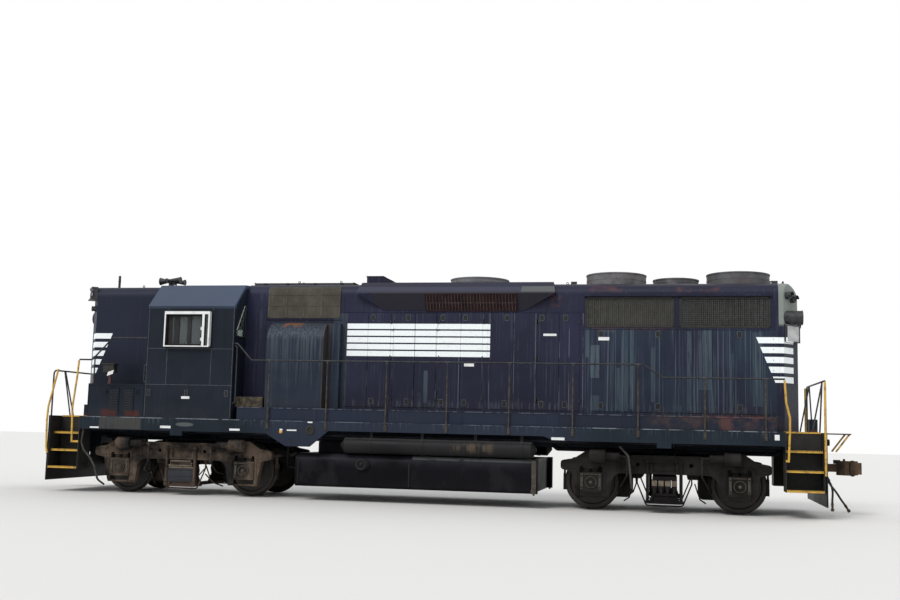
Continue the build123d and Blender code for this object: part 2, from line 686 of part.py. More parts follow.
def make_side_grilles():
    """Radiator grilles and the engine-air intake grilles that follow the curve of the eaves."""
    shapes = [make_grille(x, s) for x in radiator_x for s in (-1, 1)]
    x = (intake_x[0] - 200, intake_x[1] + 200)
    core = block(x, (-hood_y, hood_y), (deck_z, roof_z))
    core = fillet(core.edges().filter_by(Axis.X).group_by(Axis.Z)[-1], eave_r)
    skin = block(x, (-hood_y - intake_t, hood_y + intake_t), (deck_z, roof_z + intake_t))
    skin = fillet(skin.edges().filter_by(Axis.X).group_by(Axis.Z)[-1], eave_r + intake_t)
    for s in (-1, 1):
        shapes.append((skin - core) & block(intake_x, (s * 300, s * 1200), intake_z))
    return shapes


def make_blisters():
    """Dynamic-brake housings: overhanging prisms along both roof edges, with a louvred underside."""
    points = ((-hood_y, blister_low_z), (-blister_y, blister_edge_z), (-blister_top_y, blister_top_z),
              (-blister_top_y, roof_z), (-hood_y + eave_r, roof_z), (-hood_y, roof_z - eave_r))
    prism = cross_profile(points, blister_top_x)
    view = side_profile(((blister_top_x[0], blister_edge_z), (blister_low_x[0], blister_low_z),
                         (blister_low_x[1], blister_low_z), (blister_top_x[1], blister_edge_z),
                         (blister_top_x[1] - 60, blister_top_z + 1), (blister_top_x[0] + 60, blister_top_z + 1)),
                        (-blister_y - 1, 0))
    body = prism & view
    core = block(blister_top_x, (-hood_y, hood_y), (deck_z, roof_z))
    core = fillet(core.edges().filter_by(Axis.X).group_by(Axis.Z)[-1], eave_r)
    return both_sides(body - core)


def make_blower():
    """Traction-motor blower housing on the right side, with a quarter-round top, and the filter box behind."""
    housing = block(blower_x, (-blower_y, -hood_y - seat_gap), (duct_z, blower_z))
    housing = fillet(housing.edges().filter_by(Axis.X).group_by(Axis.Z)[-1].sort_by(Axis.Y)[0], blower_r)
    rim = block((blower_x[1], blower_x[1] + 260), (-hood_y - 150, -hood_y - seat_gap), (duct_z, blower_z - 20))
    filter_box = block(filter_box_x, (-filter_box_y[1], -filter_box_y[0]), (duct_z, filter_box_z))
    return [fuse(housing, rim), filter_box]


def make_air_duct():
    """Cooling-air duct along the right-hand walkway."""
    return block(duct_x, (-duct_y, -hood_y), (deck_z, duct_z))


def make_fan_shrouds():
    """Round housing of each roof fan, with the two crossed arms that carry its bearing boss."""
    shapes = []
    for _, fx, dia, top in fan_table:
        r = dia / 2
        base = roof_z
        ring = Pos(fx, 0, (base + top) / 2) * Cylinder(r, top - base)
        ring -= Pos(fx, 0, (base + top) / 2) * Cylinder(r - shroud_t, top - base + 2)
        arms = [block((fx - r + shroud_t / 2, fx + r - shroud_t / 2), (-25, 25), (base, base + 12)),
                block((fx - 25, fx + 25), (-r + shroud_t / 2, r - shroud_t / 2), (base, base + 12))]
        boss = Pos(fx, 0, base + 6) * Cylinder(fan_boss_r, 12)
        guards = [block((fx - r + shroud_t / 2, fx + r - shroud_t / 2), (y - 8, y + 8), (top - 20, top - 8))
                  for y in (-r / 3, r / 3)]
        guards += [block((fx + y - 8, fx + y + 8), (-r * 0.9, r * 0.9), (top - 20, top - 8))
                   for y in (-r / 3, r / 3)]
        shapes.append(fuse(ring, arms, boss, guards))
    return shapes


def make_fan(fx, dia):
    """Fan rotor: hub and pitched blades."""
    tip = dia / 2 - shroud_t - fan_tip_gap
    z0 = roof_z + 12 + seat_gap
    mid = z0 + fan_h / 2
    pieces = [Pos(fx, 0, mid) * Cylinder(fan_hub_r, fan_h)]
    span = tip - fan_hub_r + 10
    for i in range(fan_blades):
        blade = Pos(fan_hub_r - 10 + span / 2, 0, 0) * (Rot(X=fan_pitch) * Box(span, fan_h * 1.5, fan_blade_t))
        pieces.append(Pos(fx, 0, mid) * (Rot(Z=360 / fan_blades * i) * blade))
    rotor = fuse(*pieces)
    return rotor & Pos(fx, 0, mid) * Cylinder(tip, fan_h)


def make_short_hood():
    """High short hood, closed, with the same section as the long hood."""
    return hood_block((nose_end_x, cab_x[0]), hood_y, nose_roof_z, eave_r, -1, 120)


def make_battery_boxes():
    """Battery boxes beside the short hood, each with two vented lids."""
    box = block(battery_x, (-side_y, -hood_y), (deck_z, battery_z))
    for i in range(2):
        vx = battery_x[0] + 480 + i * 330
        box += block((vx, vx + 230), (-side_y - 12, -side_y), (deck_z + 60, battery_z - 90))
    return both_sides(box)


def make_cab_sides():
    """Cab side walls down to the deck, with the side window opening."""
    wall = block(cab_x, (-side_y, -side_y + cab_t), (deck_z, wall_top_z))
    wall -= block(side_window_x, (-side_y - 1, -side_y + cab_t + 1), side_window_z)
    return both_sides(wall)


def cab_end_outline():
    """Outline of the cab end: deck to eave, roof slope and crown, inside the side walls and roof."""
    y = side_y - cab_t
    slope = (cab_roof_z - eave_z) / (side_y - cab_roof_y)
    top = cab_roof_t / math.cos(math.atan(slope))
    z_at_y = eave_z + (side_y - y) * slope - top
    return ((-y, deck_z), (-y, z_at_y), (-cab_roof_y, cab_roof_z - top), (0, cab_crown_z - cab_roof_t),
            (cab_roof_y, cab_roof_z - top), (y, z_at_y), (y, deck_z))


def make_cab_ends():
    """Front and rear walls of the cab, with corner windows and one doorway each."""
    shapes = []
    y0, y1 = end_window_y
    z_low, z_mid, z_top = end_window_z
    window = ((y1, z_low), (y1, z_mid), (y0 + 85, z_top), (y0, z_top), (y0, z_low))
    for end, side in cab_door_sides:
        x, face_x = cab_end_wall(end)
        wall = cross_profile(cab_end_outline(), x)
        cut_x = (x[0] - 1, x[1] + 1)
        for s in (-1, 1):
            wall -= cross_profile([(s * y, z) for y, z in window], cut_x)
        wall -= block(cut_x, (side * cab_door_y[0], side * cab_door_y[1]), cab_door_z)
        axis = (face_x + end * door_pin_out, side * cab_door_y[1])
        hinges = [frame_hinge(axis, (end, 0), (0, side), hz) for hz in cab_hinge_z]
        shapes.append(fuse(wall, *hinges))
    return shapes


def cab_end_wall(end):
    """The wall's x range and the x of its outer face, for the end given by its sign."""
    if end > 0:
        return (cab_x[1] - cab_t, cab_x[1]), cab_x[1]
    return (cab_x[0], cab_x[0] + cab_t), cab_x[0]


def make_cab_door(end, side):
    """Cab door below the corner window, hinged at its outboard edge."""
    x, face_x = cab_end_wall(end)
    y = (side * (cab_door_y[0] + move_gap), side * (cab_door_y[1] - move_gap))
    z = (cab_door_z[0] + move_gap, cab_door_z[1] - move_gap)
    axis = (face_x + end * door_pin_out, side * cab_door_y[1])
    hinges = [door_hinge(axis, (end, 0), (0, -side), hz) for hz in cab_hinge_z]
    return fuse(block(x, y, z), hinges)


def make_cab_roof():
    """Cab roof: sloped sides and crowned top, sitting on the side and end walls."""
    slope = (cab_roof_z - eave_z) / (side_y - cab_roof_y)
    top = cab_roof_t / math.cos(math.atan(slope))
    out = side_y + gutter_w
    lip_z = eave_z - gutter_w * slope
    y = side_y - cab_t
    z_at_y = eave_z + (side_y - y) * slope - top
    half = [(0, cab_crown_z), (cab_roof_y, cab_roof_z), (out, lip_z), (out, lip_z - gutter_t),
            (side_y, lip_z - gutter_t), (side_y, wall_top_z), (y, wall_top_z), (y, z_at_y),
            (cab_roof_y, cab_roof_z - top), (0, cab_crown_z - cab_roof_t)]
    points = half + [(-py, pz) for py, pz in reversed(half[1:-1])]
    return cross_profile(points, cab_x)


def make_cab_floor():
    """Raised cab floor over the equipment space, between the cab walls."""
    y = side_y - cab_t
    floor = block((cab_x[0] + cab_t, cab_x[1] - cab_t), (-y, y), (cab_floor_z - 60, cab_floor_z))
    step = block(cab_step[0], cab_step[1], (deck_z, deck_z + cab_step[2]))
    return [floor, step]


def make_window_frames():
    """White box frame round each cab side window, with a post between the sashes and the wind wing."""
    rear, front, low, top = window_frame_edge
    m = window_frame_margin
    x0, x1 = side_window_x[0] - m, side_window_x[1] + m
    z0, z1 = side_window_z[0] - m, side_window_z[1] + m
    y = (-side_y - window_frame_out, -side_y)
    frame = block((x0 - rear, x1 + front), y, (z0 - low, z1 + top))
    frame -= block((x0, x1), (y[0] - 1, y[1] + 1), (z0, z1))
    post_x = x0 + window_post_share * (x1 - x0)
    frame += block((post_x, post_x + window_post_w), y, (z0, z1))
    return both_sides(frame)


def make_cab_glass():
    """Panes of the side and corner windows, seated in their openings."""
    x0, x1 = side_window_x
    z0, z1 = side_window_z
    y_mid = -side_y + cab_t / 2
    panes = both_sides(block((x0, x1), (y_mid - glass_t / 2, y_mid + glass_t / 2), (z0, z1)))
    y0, y1 = end_window_y
    z_low, z_mid, z_top = end_window_z
    window = ((y1, z_low), (y1, z_mid), (y0 + 85, z_top), (y0, z_top), (y0, z_low))
    for x in (cab_x[0] + cab_t / 2, cab_x[1] - cab_t / 2):
        for s in (-1, 1):
            panes.append(cross_profile([(s * y, z) for y, z in window], (x - glass_t / 2, x + glass_t / 2)))
    return panes


def make_cab_fittings():
    """Two seats and the control stand."""
    shapes = []
    half = seat_w / 2
    cushion_z = cab_floor_z + seat_h
    for side_sign in (-1, 1):
        sy = side_sign * seat_y
        post = rod((seat_x, sy, cab_floor_z), (seat_x, sy, cushion_z), seat_post_r)
        cushion = block((seat_x - half, seat_x + half), (sy - half, sy + half), (cushion_z, cushion_z + seat_t))
        back = block((seat_x - half, seat_x - half + seat_t), (sy - half, sy + half),
                     (cushion_z + seat_t, cushion_z + seat_t + seat_back_h))
        shapes.append(fuse(post, cushion, back))
    x0, x1, x2 = stand_x
    z0, z1 = cab_floor_z + stand_h[0], cab_floor_z + stand_h[1]
    stand = side_profile(((x0, cab_floor_z), (x2, cab_floor_z), (x2, z1), (x1, z1), (x0, z0)), stand_y)
    shapes.append(stand)
    return shapes


def make_exhaust_stack():
    """Exhaust stack: flat-sided funnel with a sloping front."""
    x0, x1, x2 = stack_x
    z1, z2 = stack_z
    tube = side_profile(((x0, roof_z), (x0, z1), (x1, z1), (x2, z2), (x2, roof_z)), (-stack_y, stack_y))
    return tube - side_profile(((x0 + 30, z1 - 120), (x0 + 30, z1 + 9), (x1 - 10, z1 + 9), (x1 - 10, z1 - 120)),
                               (-stack_y + 30, stack_y - 30))


def make_roof_fittings():
    """Horn, antenna rod, engine hatch and lifting lugs on the roofs."""
    hatch = block(hatch_x, (-hatch_y, hatch_y), (roof_z, hatch_z))
    antenna = rod((antenna_x, 0, nose_roof_z), (antenna_x, 0, antenna_z), antenna_r)
    bar = block((horn_x - 30, horn_x + 30), (-230, 230), (horn_z - 30, horn_z + 10))
    foot = block((horn_x - 50, horn_x + 50), (-40, 40), (nose_roof_z, horn_z))
    bells = []
    for y, length, mouth in horn_bells:
        cone = Pos(horn_x + length / 2, y, horn_z) * (Rot(Y=90 if length > 0 else -90)
                                                     * Cone(18, mouth, abs(length)))
        bells.append(cone)
        bells.append(Pos(horn_x, y, horn_z) * Cylinder(40, 50))
    lugs = [side_profile(((x - 60, roof_z), (x - 60, roof_z + 70), (x + 60, roof_z + 70), (x + 60, roof_z)),
                         (s * 560.0, s * 580.0)) for x in lug_x for s in (-1, 1)]
    return [hatch, antenna, fuse(bar, foot, bells)] + lugs


def make_fuel_tank():
    """Fuel tank with rounded long edges, its saddle under the centre sill, filler caps and sight posts."""
    body = block(tank_x, (-tank_y, tank_y), tank_z)
    long_edges = body.edges().filter_by(Axis.X)
    body = fillet(long_edges.group_by(Axis.Z)[-1], tank_top_r)
    body = fillet(body.edges().filter_by(Axis.X).group_by(Axis.Z)[0], tank_low_r)
    saddle_x = (tank_x[0] + 200, tank_x[1] - 200)
    saddle = block(saddle_x, (-tank_saddle_y, tank_saddle_y), (tank_z[1], centre_sill_z))
    caps = both_sides(rod((filler_x, -tank_y, filler_z), (filler_x, -tank_y - 40, filler_z), filler_r))
    posts = both_sides(block(sight_post_x, (-tank_y, -tank_y + 120), tank_z))
    return fuse(body, saddle, caps, posts)


def make_air_reservoirs():
    """Long main air reservoir under each side sill, with domed ends and four hangers."""
    x0, x1 = reservoir_x
    r = reservoir_r
    tube = rod((x0 + r * 0.6, -reservoir_y, reservoir_z), (x1 - r * 0.6, -reservoir_y, reservoir_z), r)
    ends = [Pos(x0 + r * 0.3, -reservoir_y, reservoir_z) * (Rot(Y=90) * Cone(r * 0.25, r, r * 0.6)),
            Pos(x1 - r * 0.3, -reservoir_y, reservoir_z) * (Rot(Y=90) * Cone(r, r * 0.25, r * 0.6))]
    hangers = []
    for x in hanger_x:
        hangers.append(block((x - hanger_w / 2, x + hanger_w / 2), (-reservoir_y - 60, -reservoir_y + 60),
                             (reservoir_z + r - 40, deck_z - deck_t)))
        hangers.append(rod((x - hanger_w / 2, -reservoir_y, reservoir_z), (x + hanger_w / 2, -reservoir_y,
                                                                          reservoir_z), r + 8))
    return both_sides(fuse(tube, ends, hangers))


def make_handrails():
    """Handrail and its stanchions along each walkway, and the rails beside the short hood."""
    y = side_y + rail_r + seat_gap
    xs = [post_first_x + i * post_pitch for i in range(post_count)] + [post_last_x]
    drop0, drop1 = handrail_drop_x
    start_z = nose_rail_z - 100
    path = ((cab_x[1] + seat_gap, -side_y + 40, start_z), (cab_x[1] + 70, -side_y + 40, start_z),
            (rail_start_x, -y, handrail_z), (drop0, -y, handrail_z), (drop1, -y, low_handrail_z),
            (step_x[0], -y, low_handrail_z))
    long_rail = bent_bar(path, rail_r, 40)
    for x in xs:
        if x < drop0:
            top = handrail_z
        else:
            top = handrail_z - (handrail_z - low_handrail_z) * min(1.0, (x - drop0) / (drop1 - drop0))
        long_rail += rod((x, -y, post_low_z), (x, -y, top), post_r)
    nose_y = -side_y + 40
    bend0, bend1, tip = nose_rail_x
    nose_path = ((cab_x[0] - seat_gap, nose_y, nose_rail_z), (bend0, nose_y, nose_rail_z),
                 (bend1, nose_y, nose_rail_low_z), (tip, nose_y - 20, nose_rail_low_z))
    short_rail = bent_bar(nose_path, rail_r, 60)
    short_rail += rod((nose_post_x, nose_y, nose_post_z), (nose_post_x, nose_y, battery_z), post_r)
    return both_sides(long_rail) + both_sides(short_rail)


def make_corner_grabs():
    """Yellow grab bars at the steps and posts at the end corners, bent to their outlines, on short feet."""
    y = -side_y - grab_r - seat_gap
    shapes = []
    for end, paths in ((1, (front_grab, front_corner_post)), (-1, (rear_grab, rear_corner_post))):
        for path, stringer in zip(paths, step_x):
            points = [(end * (end_x + dx), y, rail_z + z) for dx, z in path]
            if len(points) > 2:
                bar = bent_bar(points, grab_r, grab_bend)
            else:
                bar = rod(*points, grab_r)
            low_x, low_z = points[-1][0], points[-1][2]
            inward = (end * stringer, low_x + math.copysign(grab_r, low_x - end * stringer))
            foot = block((min(inward), max(inward)), (y, -side_y), (low_z, low_z + grab_foot_h))
            shapes += both_sides(fuse(bar, foot))
    return shapes


def make_end_rails():
    """Handrail across each end deck, with slanted posts beside the gangway and braces behind the corners."""
    z = end_rail_z
    path = [(end_rail_x, -end_rail_y, deck_z), (end_rail_x, -end_rail_y, z), (end_rail_x, end_rail_y, z),
            (end_rail_x, end_rail_y, deck_z)]
    rail = bent_bar(path, rail_r, 90)
    brace_y, brace_in = end_brace
    for s in (-1, 1):
        rail += rod((end_rail_x, s * end_post_y[0], z), (end_rail_x, s * end_post_y[1], deck_z + 1), post_r)
        rail += rod((end_rail_x, s * brace_y, z), (end_rail_x - brace_in, s * brace_y, deck_z + 1), post_r)
    rail -= block((end_rail_x - 2 * brace_in, end_x), (-side_y, side_y), (deck_z - 40, deck_z))
    return [rail, mirror(rail, about=Plane.YZ)]


def on_corner(end, hand, place, out):
    """Point on the slanted corner of a hood end: place is measured from the side, out from the plate."""
    face = hood_end_x if end > 0 else -nose_end_x
    length = math.hypot(*bevel)
    ux, uy = bevel[0] / length, bevel[1] / length
    return end * (face - bevel[0] + ux * place + uy * out), hand * (hood_y - uy * place + ux * out)


def corner_rod(end, hand, place, out, z, radius):
    """Round piece standing on a slanted hood corner."""
    return rod((*on_corner(end, hand, place, out[0]), z), (*on_corner(end, hand, place, out[1]), z), radius)


def number_box(end, hand, outline):
    """Number-board box on a slanted hood corner, with its outline of out and height run along the corner."""
    start = Vector(*on_corner(end, hand, number_box_along[0], 0), 0)
    finish = Vector(*on_corner(end, hand, number_box_along[1], 0), 0)
    outward = Vector(*on_corner(end, hand, number_box_along[0], 1), 0) - start
    run = finish - start
    upright = run.cross(outward).Z > 0
    plane = Plane(origin=start, x_dir=outward, z_dir=run)
    points = [(out, (rail_z + z) * (1 if upright else -1)) for out, z in outline]
    return extrude(plane * make_face(Polyline(*points, close=True)), run.length)


def make_end_lamps():
    """Headlight cans, corner lamps, class lamps and number-board boxes at the ends of the hoods."""
    shapes = []
    for s, face, length in ((1, hood_end_x, lamp_length[0]), (-1, nose_end_x, lamp_length[1])):
        for y in (-lamp_y, lamp_y):
            can = rod((face, y, lamp_z), (face + s * length, y, lamp_z), lamp_r)
            can -= rod((face + s * (length - lens_depth), y, lamp_z), (face + s * (length + 1), y, lamp_z),
                       lamp_bore_r)
            shapes.append(can)
    for hand in (-1, 1):
        y = hand * corner_lamp_y
        can = rod((corner_lamp_x[0], y, lamp_z), (corner_lamp_x[1], y, lamp_z), corner_lamp_r)
        can -= rod((corner_lamp_x[1] - lens_depth, y, lamp_z), (corner_lamp_x[1] + 1, y, lamp_z),
                   corner_lamp_r - corner_lamp_wall)
        behind = [on_corner(1, hand, place, out) for place, out in
                  ((-hood_y, seat_gap), (hood_y, seat_gap), (hood_y, -hood_y), (-hood_y, -hood_y))]
        can -= plan_profile(behind, (lamp_z - 2 * corner_lamp_r, lamp_z + 2 * corner_lamp_r))
        shapes.append(can)
        for place, z in class_lamps:
            shapes.append(corner_rod(1, hand, place, (seat_gap, class_lamp_length), z, class_lamp_r))
        shapes.append(number_box(1, hand, front_number_box))
        shapes.append(number_box(-1, hand, rear_number_box))
    return shapes


def make_lamp_lenses():
    """Lenses of the headlights and the corner lamps in their cans."""
    shapes = []
    for s, face, length in ((1, hood_end_x, lamp_length[0]), (-1, nose_end_x, lamp_length[1])):
        for y in (-lamp_y, lamp_y):
            seat = face + s * (length - lens_depth)
            shapes.append(rod((seat, y, lamp_z), (seat + s * lens_t, y, lamp_z), lamp_bore_r - seat_gap))
    seat = corner_lamp_x[1] - lens_depth
    lens_r = corner_lamp_r - corner_lamp_wall - seat_gap
    for y in (-corner_lamp_y, corner_lamp_y):
        shapes.append(rod((seat, y, lamp_z), (seat + lens_t, y, lamp_z), lens_r))
    return shapes


def make_engine():
    """Engine and generator as one plain block at their real place."""
    engine = block(engine_x, (-engine_y, engine_y), (deck_z, engine_z))
    generator = block((generator_x, engine_x[0]), (-generator_y, generator_y), (deck_z, generator_z))
    return fuse(engine, generator)


def rounded(solid, corners, radius):
    """The solid with its edges across the locomotive at the (x, z) corners rounded."""
    edges = [edge for edge in solid.edges().filter_by(Axis.Y)
             if any(math.hypot(edge.center().X - x, edge.center().Z - z) < 1 for x, z in corners)]
    return fillet(edges, radius)


def mirrored(points):
    """The points together with their mirror images behind the truck centre."""
    return points + [(-x, z) for x, z in reversed(points)]


def make_side_frame():
    """Right-hand cast side frame: arched outline, pedestal pockets, recessed webs, holes and tie bars."""
    half = truck_base / 2
    open0, open1 = half - pedestal_half, half + pedestal_half
    arch = (arch_x, truck_low_z)
    tips = [(truck_arm_x, z) for z in truck_arm_z]
    shoulders = [(half - 371.5, pedestal_top_z), (half + 100, pedestal_top_z), (half + 318.5, rail_z + 950)]
    pocket = [(open1, pocket_top_z), (open0, pocket_top_z)]
    right = [(half - 471.5, truck_frame_z), *shoulders, tips[1], tips[0], (half + 372, rail_z + 700),
             (open1 + pedestal_leg[1], pedestal_low_z), (open1, pedestal_low_z), *pocket,
             (open0, pedestal_low_z), (open0 - pedestal_leg[0], pedestal_low_z), arch]
    outer_y, inner_y = -frame_y[1], -frame_y[0]
    frame = side_profile(mirrored(right), (outer_y, inner_y))
    frame = rounded(frame, mirrored([arch]), arch_r)
    frame = rounded(frame, mirrored(shoulders), shoulder_r)
    frame = rounded(frame, mirrored(tips), arm_tip_r)
    frame = rounded(frame, mirrored(pocket), pocket_corner_r)
    web = block(web_recess_x, (outer_y - 1, outer_y + web_recess_depth), web_recess_z)
    web = fillet(web.edges().filter_by(Axis.Y), web_corner_r)
    reach, low, high, depth = centre_recess
    panel = block((-reach, reach), (outer_y - 1, outer_y + depth), (low, high))
    frame -= fillet(panel.edges().filter_by(Axis.Y), web_corner_r / 2)
    for s in (-1, 1):
        frame -= web if s > 0 else mirror(web, about=Plane.YZ)
        for x, z, radius in light_holes:
            frame -= rod((s * x, outer_y - 1, z), (s * x, inner_y + 1, z), radius)
        tie = sorted((s * (open0 - pedestal_leg[0]), s * (open1 + pedestal_leg[1])))
        frame += block(tie, (outer_y + 20, inner_y - 20), (pedestal_low_z - tie_bar_h, pedestal_low_z))
    loop = [(x, -safety_loop_y, rail_z + z) for x, z in mirrored(list(safety_loop))]
    return frame + bent_bar(loop, safety_loop_r, 60)


def make_brake_cylinder(s):
    """Brake cylinder on the shoulder of the right-hand side frame: drum, flange and narrow nose."""
    y = -frame_y[1] - brake_cylinder_r + 10
    x0, x1 = brake_cylinder_x
    z = brake_cylinder_z
    flange_w, flange_h = brake_cylinder_rim
    nose_length, nose_radius = brake_nose
    drum = rod((s * x0, y, z), (s * x1, y, z), brake_cylinder_r)
    drum = fillet(drum.edges().filter_by(GeomType.CIRCLE).sort_by(Axis.X)[0 if s < 0 else -1], 18)
    drum += rod((s * (x0 + 30), y, z), (s * (x0 + 30 + flange_w), y, z), brake_cylinder_r + flange_h)
    nose = rod((s * (x0 - nose_length), y, z), (s * (x0 + 1), y, z), nose_radius)
    bracket = block(sorted((s * (x0 - nose_length + 40), s * (x0 - nose_length + 100))), (y, -frame_y[1] + 1),
                    (z - nose_radius / 2, z + 10))
    return drum + nose + bracket


def make_truck_frame():
    """Cast truck frame: two pedestal side frames, two transoms, brake cylinders and outer brake beams."""
    half = truck_base / 2
    frame = fuse(make_side_frame(), make_brake_cylinder(-1), make_brake_cylinder(1))
    pieces = both_sides(frame)
    for s in (-1, 1):
        pieces.append(block((s * transom_x[0], s * transom_x[1]), (-frame_y[0], frame_y[0]), transom_z))
        beam_x = truck_arm_x - 45
        pieces.append(rod((s * beam_x, -frame_y[0], rail_z + 820), (s * beam_x, frame_y[0], rail_z + 820), 38))
        wheel_x = s * half
        for t in (-1, 1):
            y = (t * shoe_y[0], t * shoe_y[1])
            for face in (1, -1):
                sign = s * face
                reach = wheel_r + move_gap
                shoe = block((wheel_x + sign * (reach - 40), wheel_x + sign * (reach + shoe_t)), y,
                             (rail_z + 330, rail_z + 640))
                shoe -= rod((wheel_x, t * (shoe_y[0] - 5), rail_z + wheel_r), (wheel_x, t * (shoe_y[1] + 5),
                                                                              rail_z + wheel_r), reach)
                flange_cut = rod((wheel_x, t * (wheel_back_y - 20), rail_z + wheel_r),
                                 (wheel_x, t * (wheel_back_y + flange_w + 15), rail_z + wheel_r),
                                 flange_r + move_gap)
                shoe -= flange_cut
                pieces.append(shoe)
                foot = [(wheel_x + sign * (reach + out), rail_z + 420) for out in (12, shoe_t)]
                if face > 0:
                    head = [(s * (beam_x + out), rail_z + 820) for out in (20, -20)]
                else:
                    head = [(s * (transom_x[1] + out), rail_z + 760) for out in (-10, 60)]
                link_y = (t * (wheel_back_y + flange_w + 20), t * (shoe_y[1] - 4))
                pieces.append(side_profile((*foot, *head), link_y))
    return fuse(*pieces)


def elliptic_spring(x, y, z):
    """Two bowed leaf packs between their seats, stepped leaf by leaf, as one outline seen along the truck."""
    mid, layer = (z[0] + z[1]) / 2, (z[1] - z[0]) / (2 * leaf_count)
    centre, half = (y[0] + y[1]) / 2, (y[1] - y[0]) / 2
    upper = []
    for i in range(leaf_count):
        reach = centre + half * (1 - leaf_step * i)
        upper += [(reach, mid + i * layer), (reach, mid + (i + 1) * layer)]
    outer = [(py, 2 * mid - pz) for py, pz in reversed(upper[1:])] + upper[1:]
    return cross_profile(outer + [(2 * centre - py, pz) for py, pz in reversed(outer)], x)


def make_spring_seat():
    """Right-hand spring seat: a trapezoid with a recessed face and a bar to the seat on the other side."""
    foot, top = plank_half
    low, high = plank_z
    seat = side_profile(((-foot, low), (foot, low), (top, high), (-top, high)), (-leaf_y[1], -leaf_y[0]))
    rim = plank_rim
    right = [(foot - 2 * rim, low + rim), (top - rim / 2, high - rim)]
    hollow = side_profile(mirrored(right), (-leaf_y[1] - 1, -leaf_y[1] + plank_recess))
    half_w, tall = cross_plank
    return seat - hollow + block((-half_w, half_w), (-leaf_y[0] - 1, 0), (low, low + tall))


def make_swing_hanger(x):
    """Right-hand swing hanger: a strap between two bosses, outside the side frame."""
    y = (-leaf_y[1] - 24, -frame_y[1] - seat_gap)
    low, high = hanger_z
    strap = block((x - swing_hanger_w / 2, x + swing_hanger_w / 2), (-leaf_y[1] - 14, y[1] - 10), (low, high))
    for z in (low, high):
        strap += rod((x, y[0], z), (x, y[1], z), hanger_boss_r)
    return strap


def make_truck_bolster():
    """Bolster with centre bowl, spring seats, elliptic leaf springs and swing hangers."""
    points = [(bolster_y, rail_z + 610), (bolster_y, bolster_top_z - 40), (bolster_y - 200, bolster_top_z),
              (-bolster_y + 200, bolster_top_z), (-bolster_y, bolster_top_z - 40), (-bolster_y, rail_z + 610)]
    x = (-bolster_half, bolster_half)
    beam = cross_profile(points, x)
    beam -= Pos(0, 0, bolster_top_z) * Cylinder(centre_plate_r + move_gap, 60)
    right = [make_spring_seat(), make_swing_hanger(-swing_hanger_x), make_swing_hanger(swing_hanger_x)]
    right.append(block(x, (-leaf_y[1], 0), bolster_end_z))
    spring_side = (-leaf_y[1] + leaf_set_back, -leaf_y[0])
    for i in range(4):
        centre = (i - 1.5) * leaf_pitch
        right.append(elliptic_spring((centre - leaf_column_w / 2, centre + leaf_column_w / 2), spring_side,
                                     (plank_z[1], bolster_end_z[0])))
    bar_y = -leaf_y[1] - 5
    bar_z = hanger_z[1]
    right.append(rod((-swing_hanger_x, bar_y, bar_z), (swing_hanger_x, bar_y, bar_z), hanger_bar_r))
    right.append(block((-swing_hanger_x, swing_hanger_x), (-leaf_y[1] - 10, -leaf_y[1] + 40),
                       (plank_z[0], plank_z[0] + plank_rim)))
    side = fuse(*right)
    return fuse(beam, *both_sides(side))


def make_journal_box(s, t):
    """Journal box with its stepped cap, the bearing bore, and the coil springs under their cap bar."""
    cx, axle_z = s * truck_base / 2, rail_z + wheel_r
    outer = t * journal_box_y[1]
    low, high = journal_box_z
    box = block((cx - pedestal_half + pedestal_gap, cx + pedestal_half - pedestal_gap),
                (t * journal_box_y[0], outer), journal_box_z)
    box = fillet(box.edges().filter_by(Axis.Y).group_by(Axis.Z)[0], journal_box_corner_r)
    for radius, out in journal_cap:
        box += rod((cx, outer, axle_z), (cx, outer + t * out, axle_z), radius)
    box -= rod((cx, t * (journal_box_y[0] - 1), axle_z), (cx, t * (journal_end_y + move_gap), axle_z),
               journal_r + pin_gap)
    half_x, half_y, cap_h = spring_cap
    top = pocket_top_z - seat_gap
    cap_y = (t * spring_y - half_y, t * spring_y + half_y)
    box += block((cx - half_x, cx + half_x), cap_y, (top - cap_h, top))
    pitch = (top - cap_h - high) / spring_turns
    rings = [(spring_r - spring_groove * (i % 2), high + i * pitch / 2) for i in range(2 * spring_turns + 1)]
    for c in (-1, 1):
        spring = revolve(make_face(Polyline((0, 0, high), *[(r, 0, z) for r, z in rings],
                                            (0, 0, top - cap_h), close=True)), Axis.Z, 360)
        box += Pos(cx + c * (spring_r - 4), t * spring_y, 0) * spring
    return box


def make_journal_boxes():
    """The four journal boxes of a truck."""
    return [make_journal_box(s, t) for s in (-1, 1) for t in (-1, 1)]


def make_traction_motors():
    """Traction motors, hung on the transom and notched round the axle."""
    shapes = []
    axle_z = rail_z + wheel_r
    for s in (-1, 1):
        half = s * truck_base / 2
        x = (s * motor_x[0], s * motor_x[1])
        body = block(x, (-motor_y, motor_y), motor_z)
        body = fillet(body.edges().filter_by(Axis.Y), 90)
        nose = block((s * transom_x[1], s * (motor_x[0] + 60)), (-200, 200), (rail_z + 640, rail_z + 760))
        case = [block((s * (motor_x[1] - 60), half), (y, y + 60), (axle_z - 160, axle_z + 160)) for y in
                (-motor_y, motor_y - 60)]
        motor = fuse(body, nose, case)
        motor -= rod((half, -motor_y - 1, axle_z), (half, motor_y + 1, axle_z), axle_r + move_gap)
        shapes.append(motor)
    return shapes


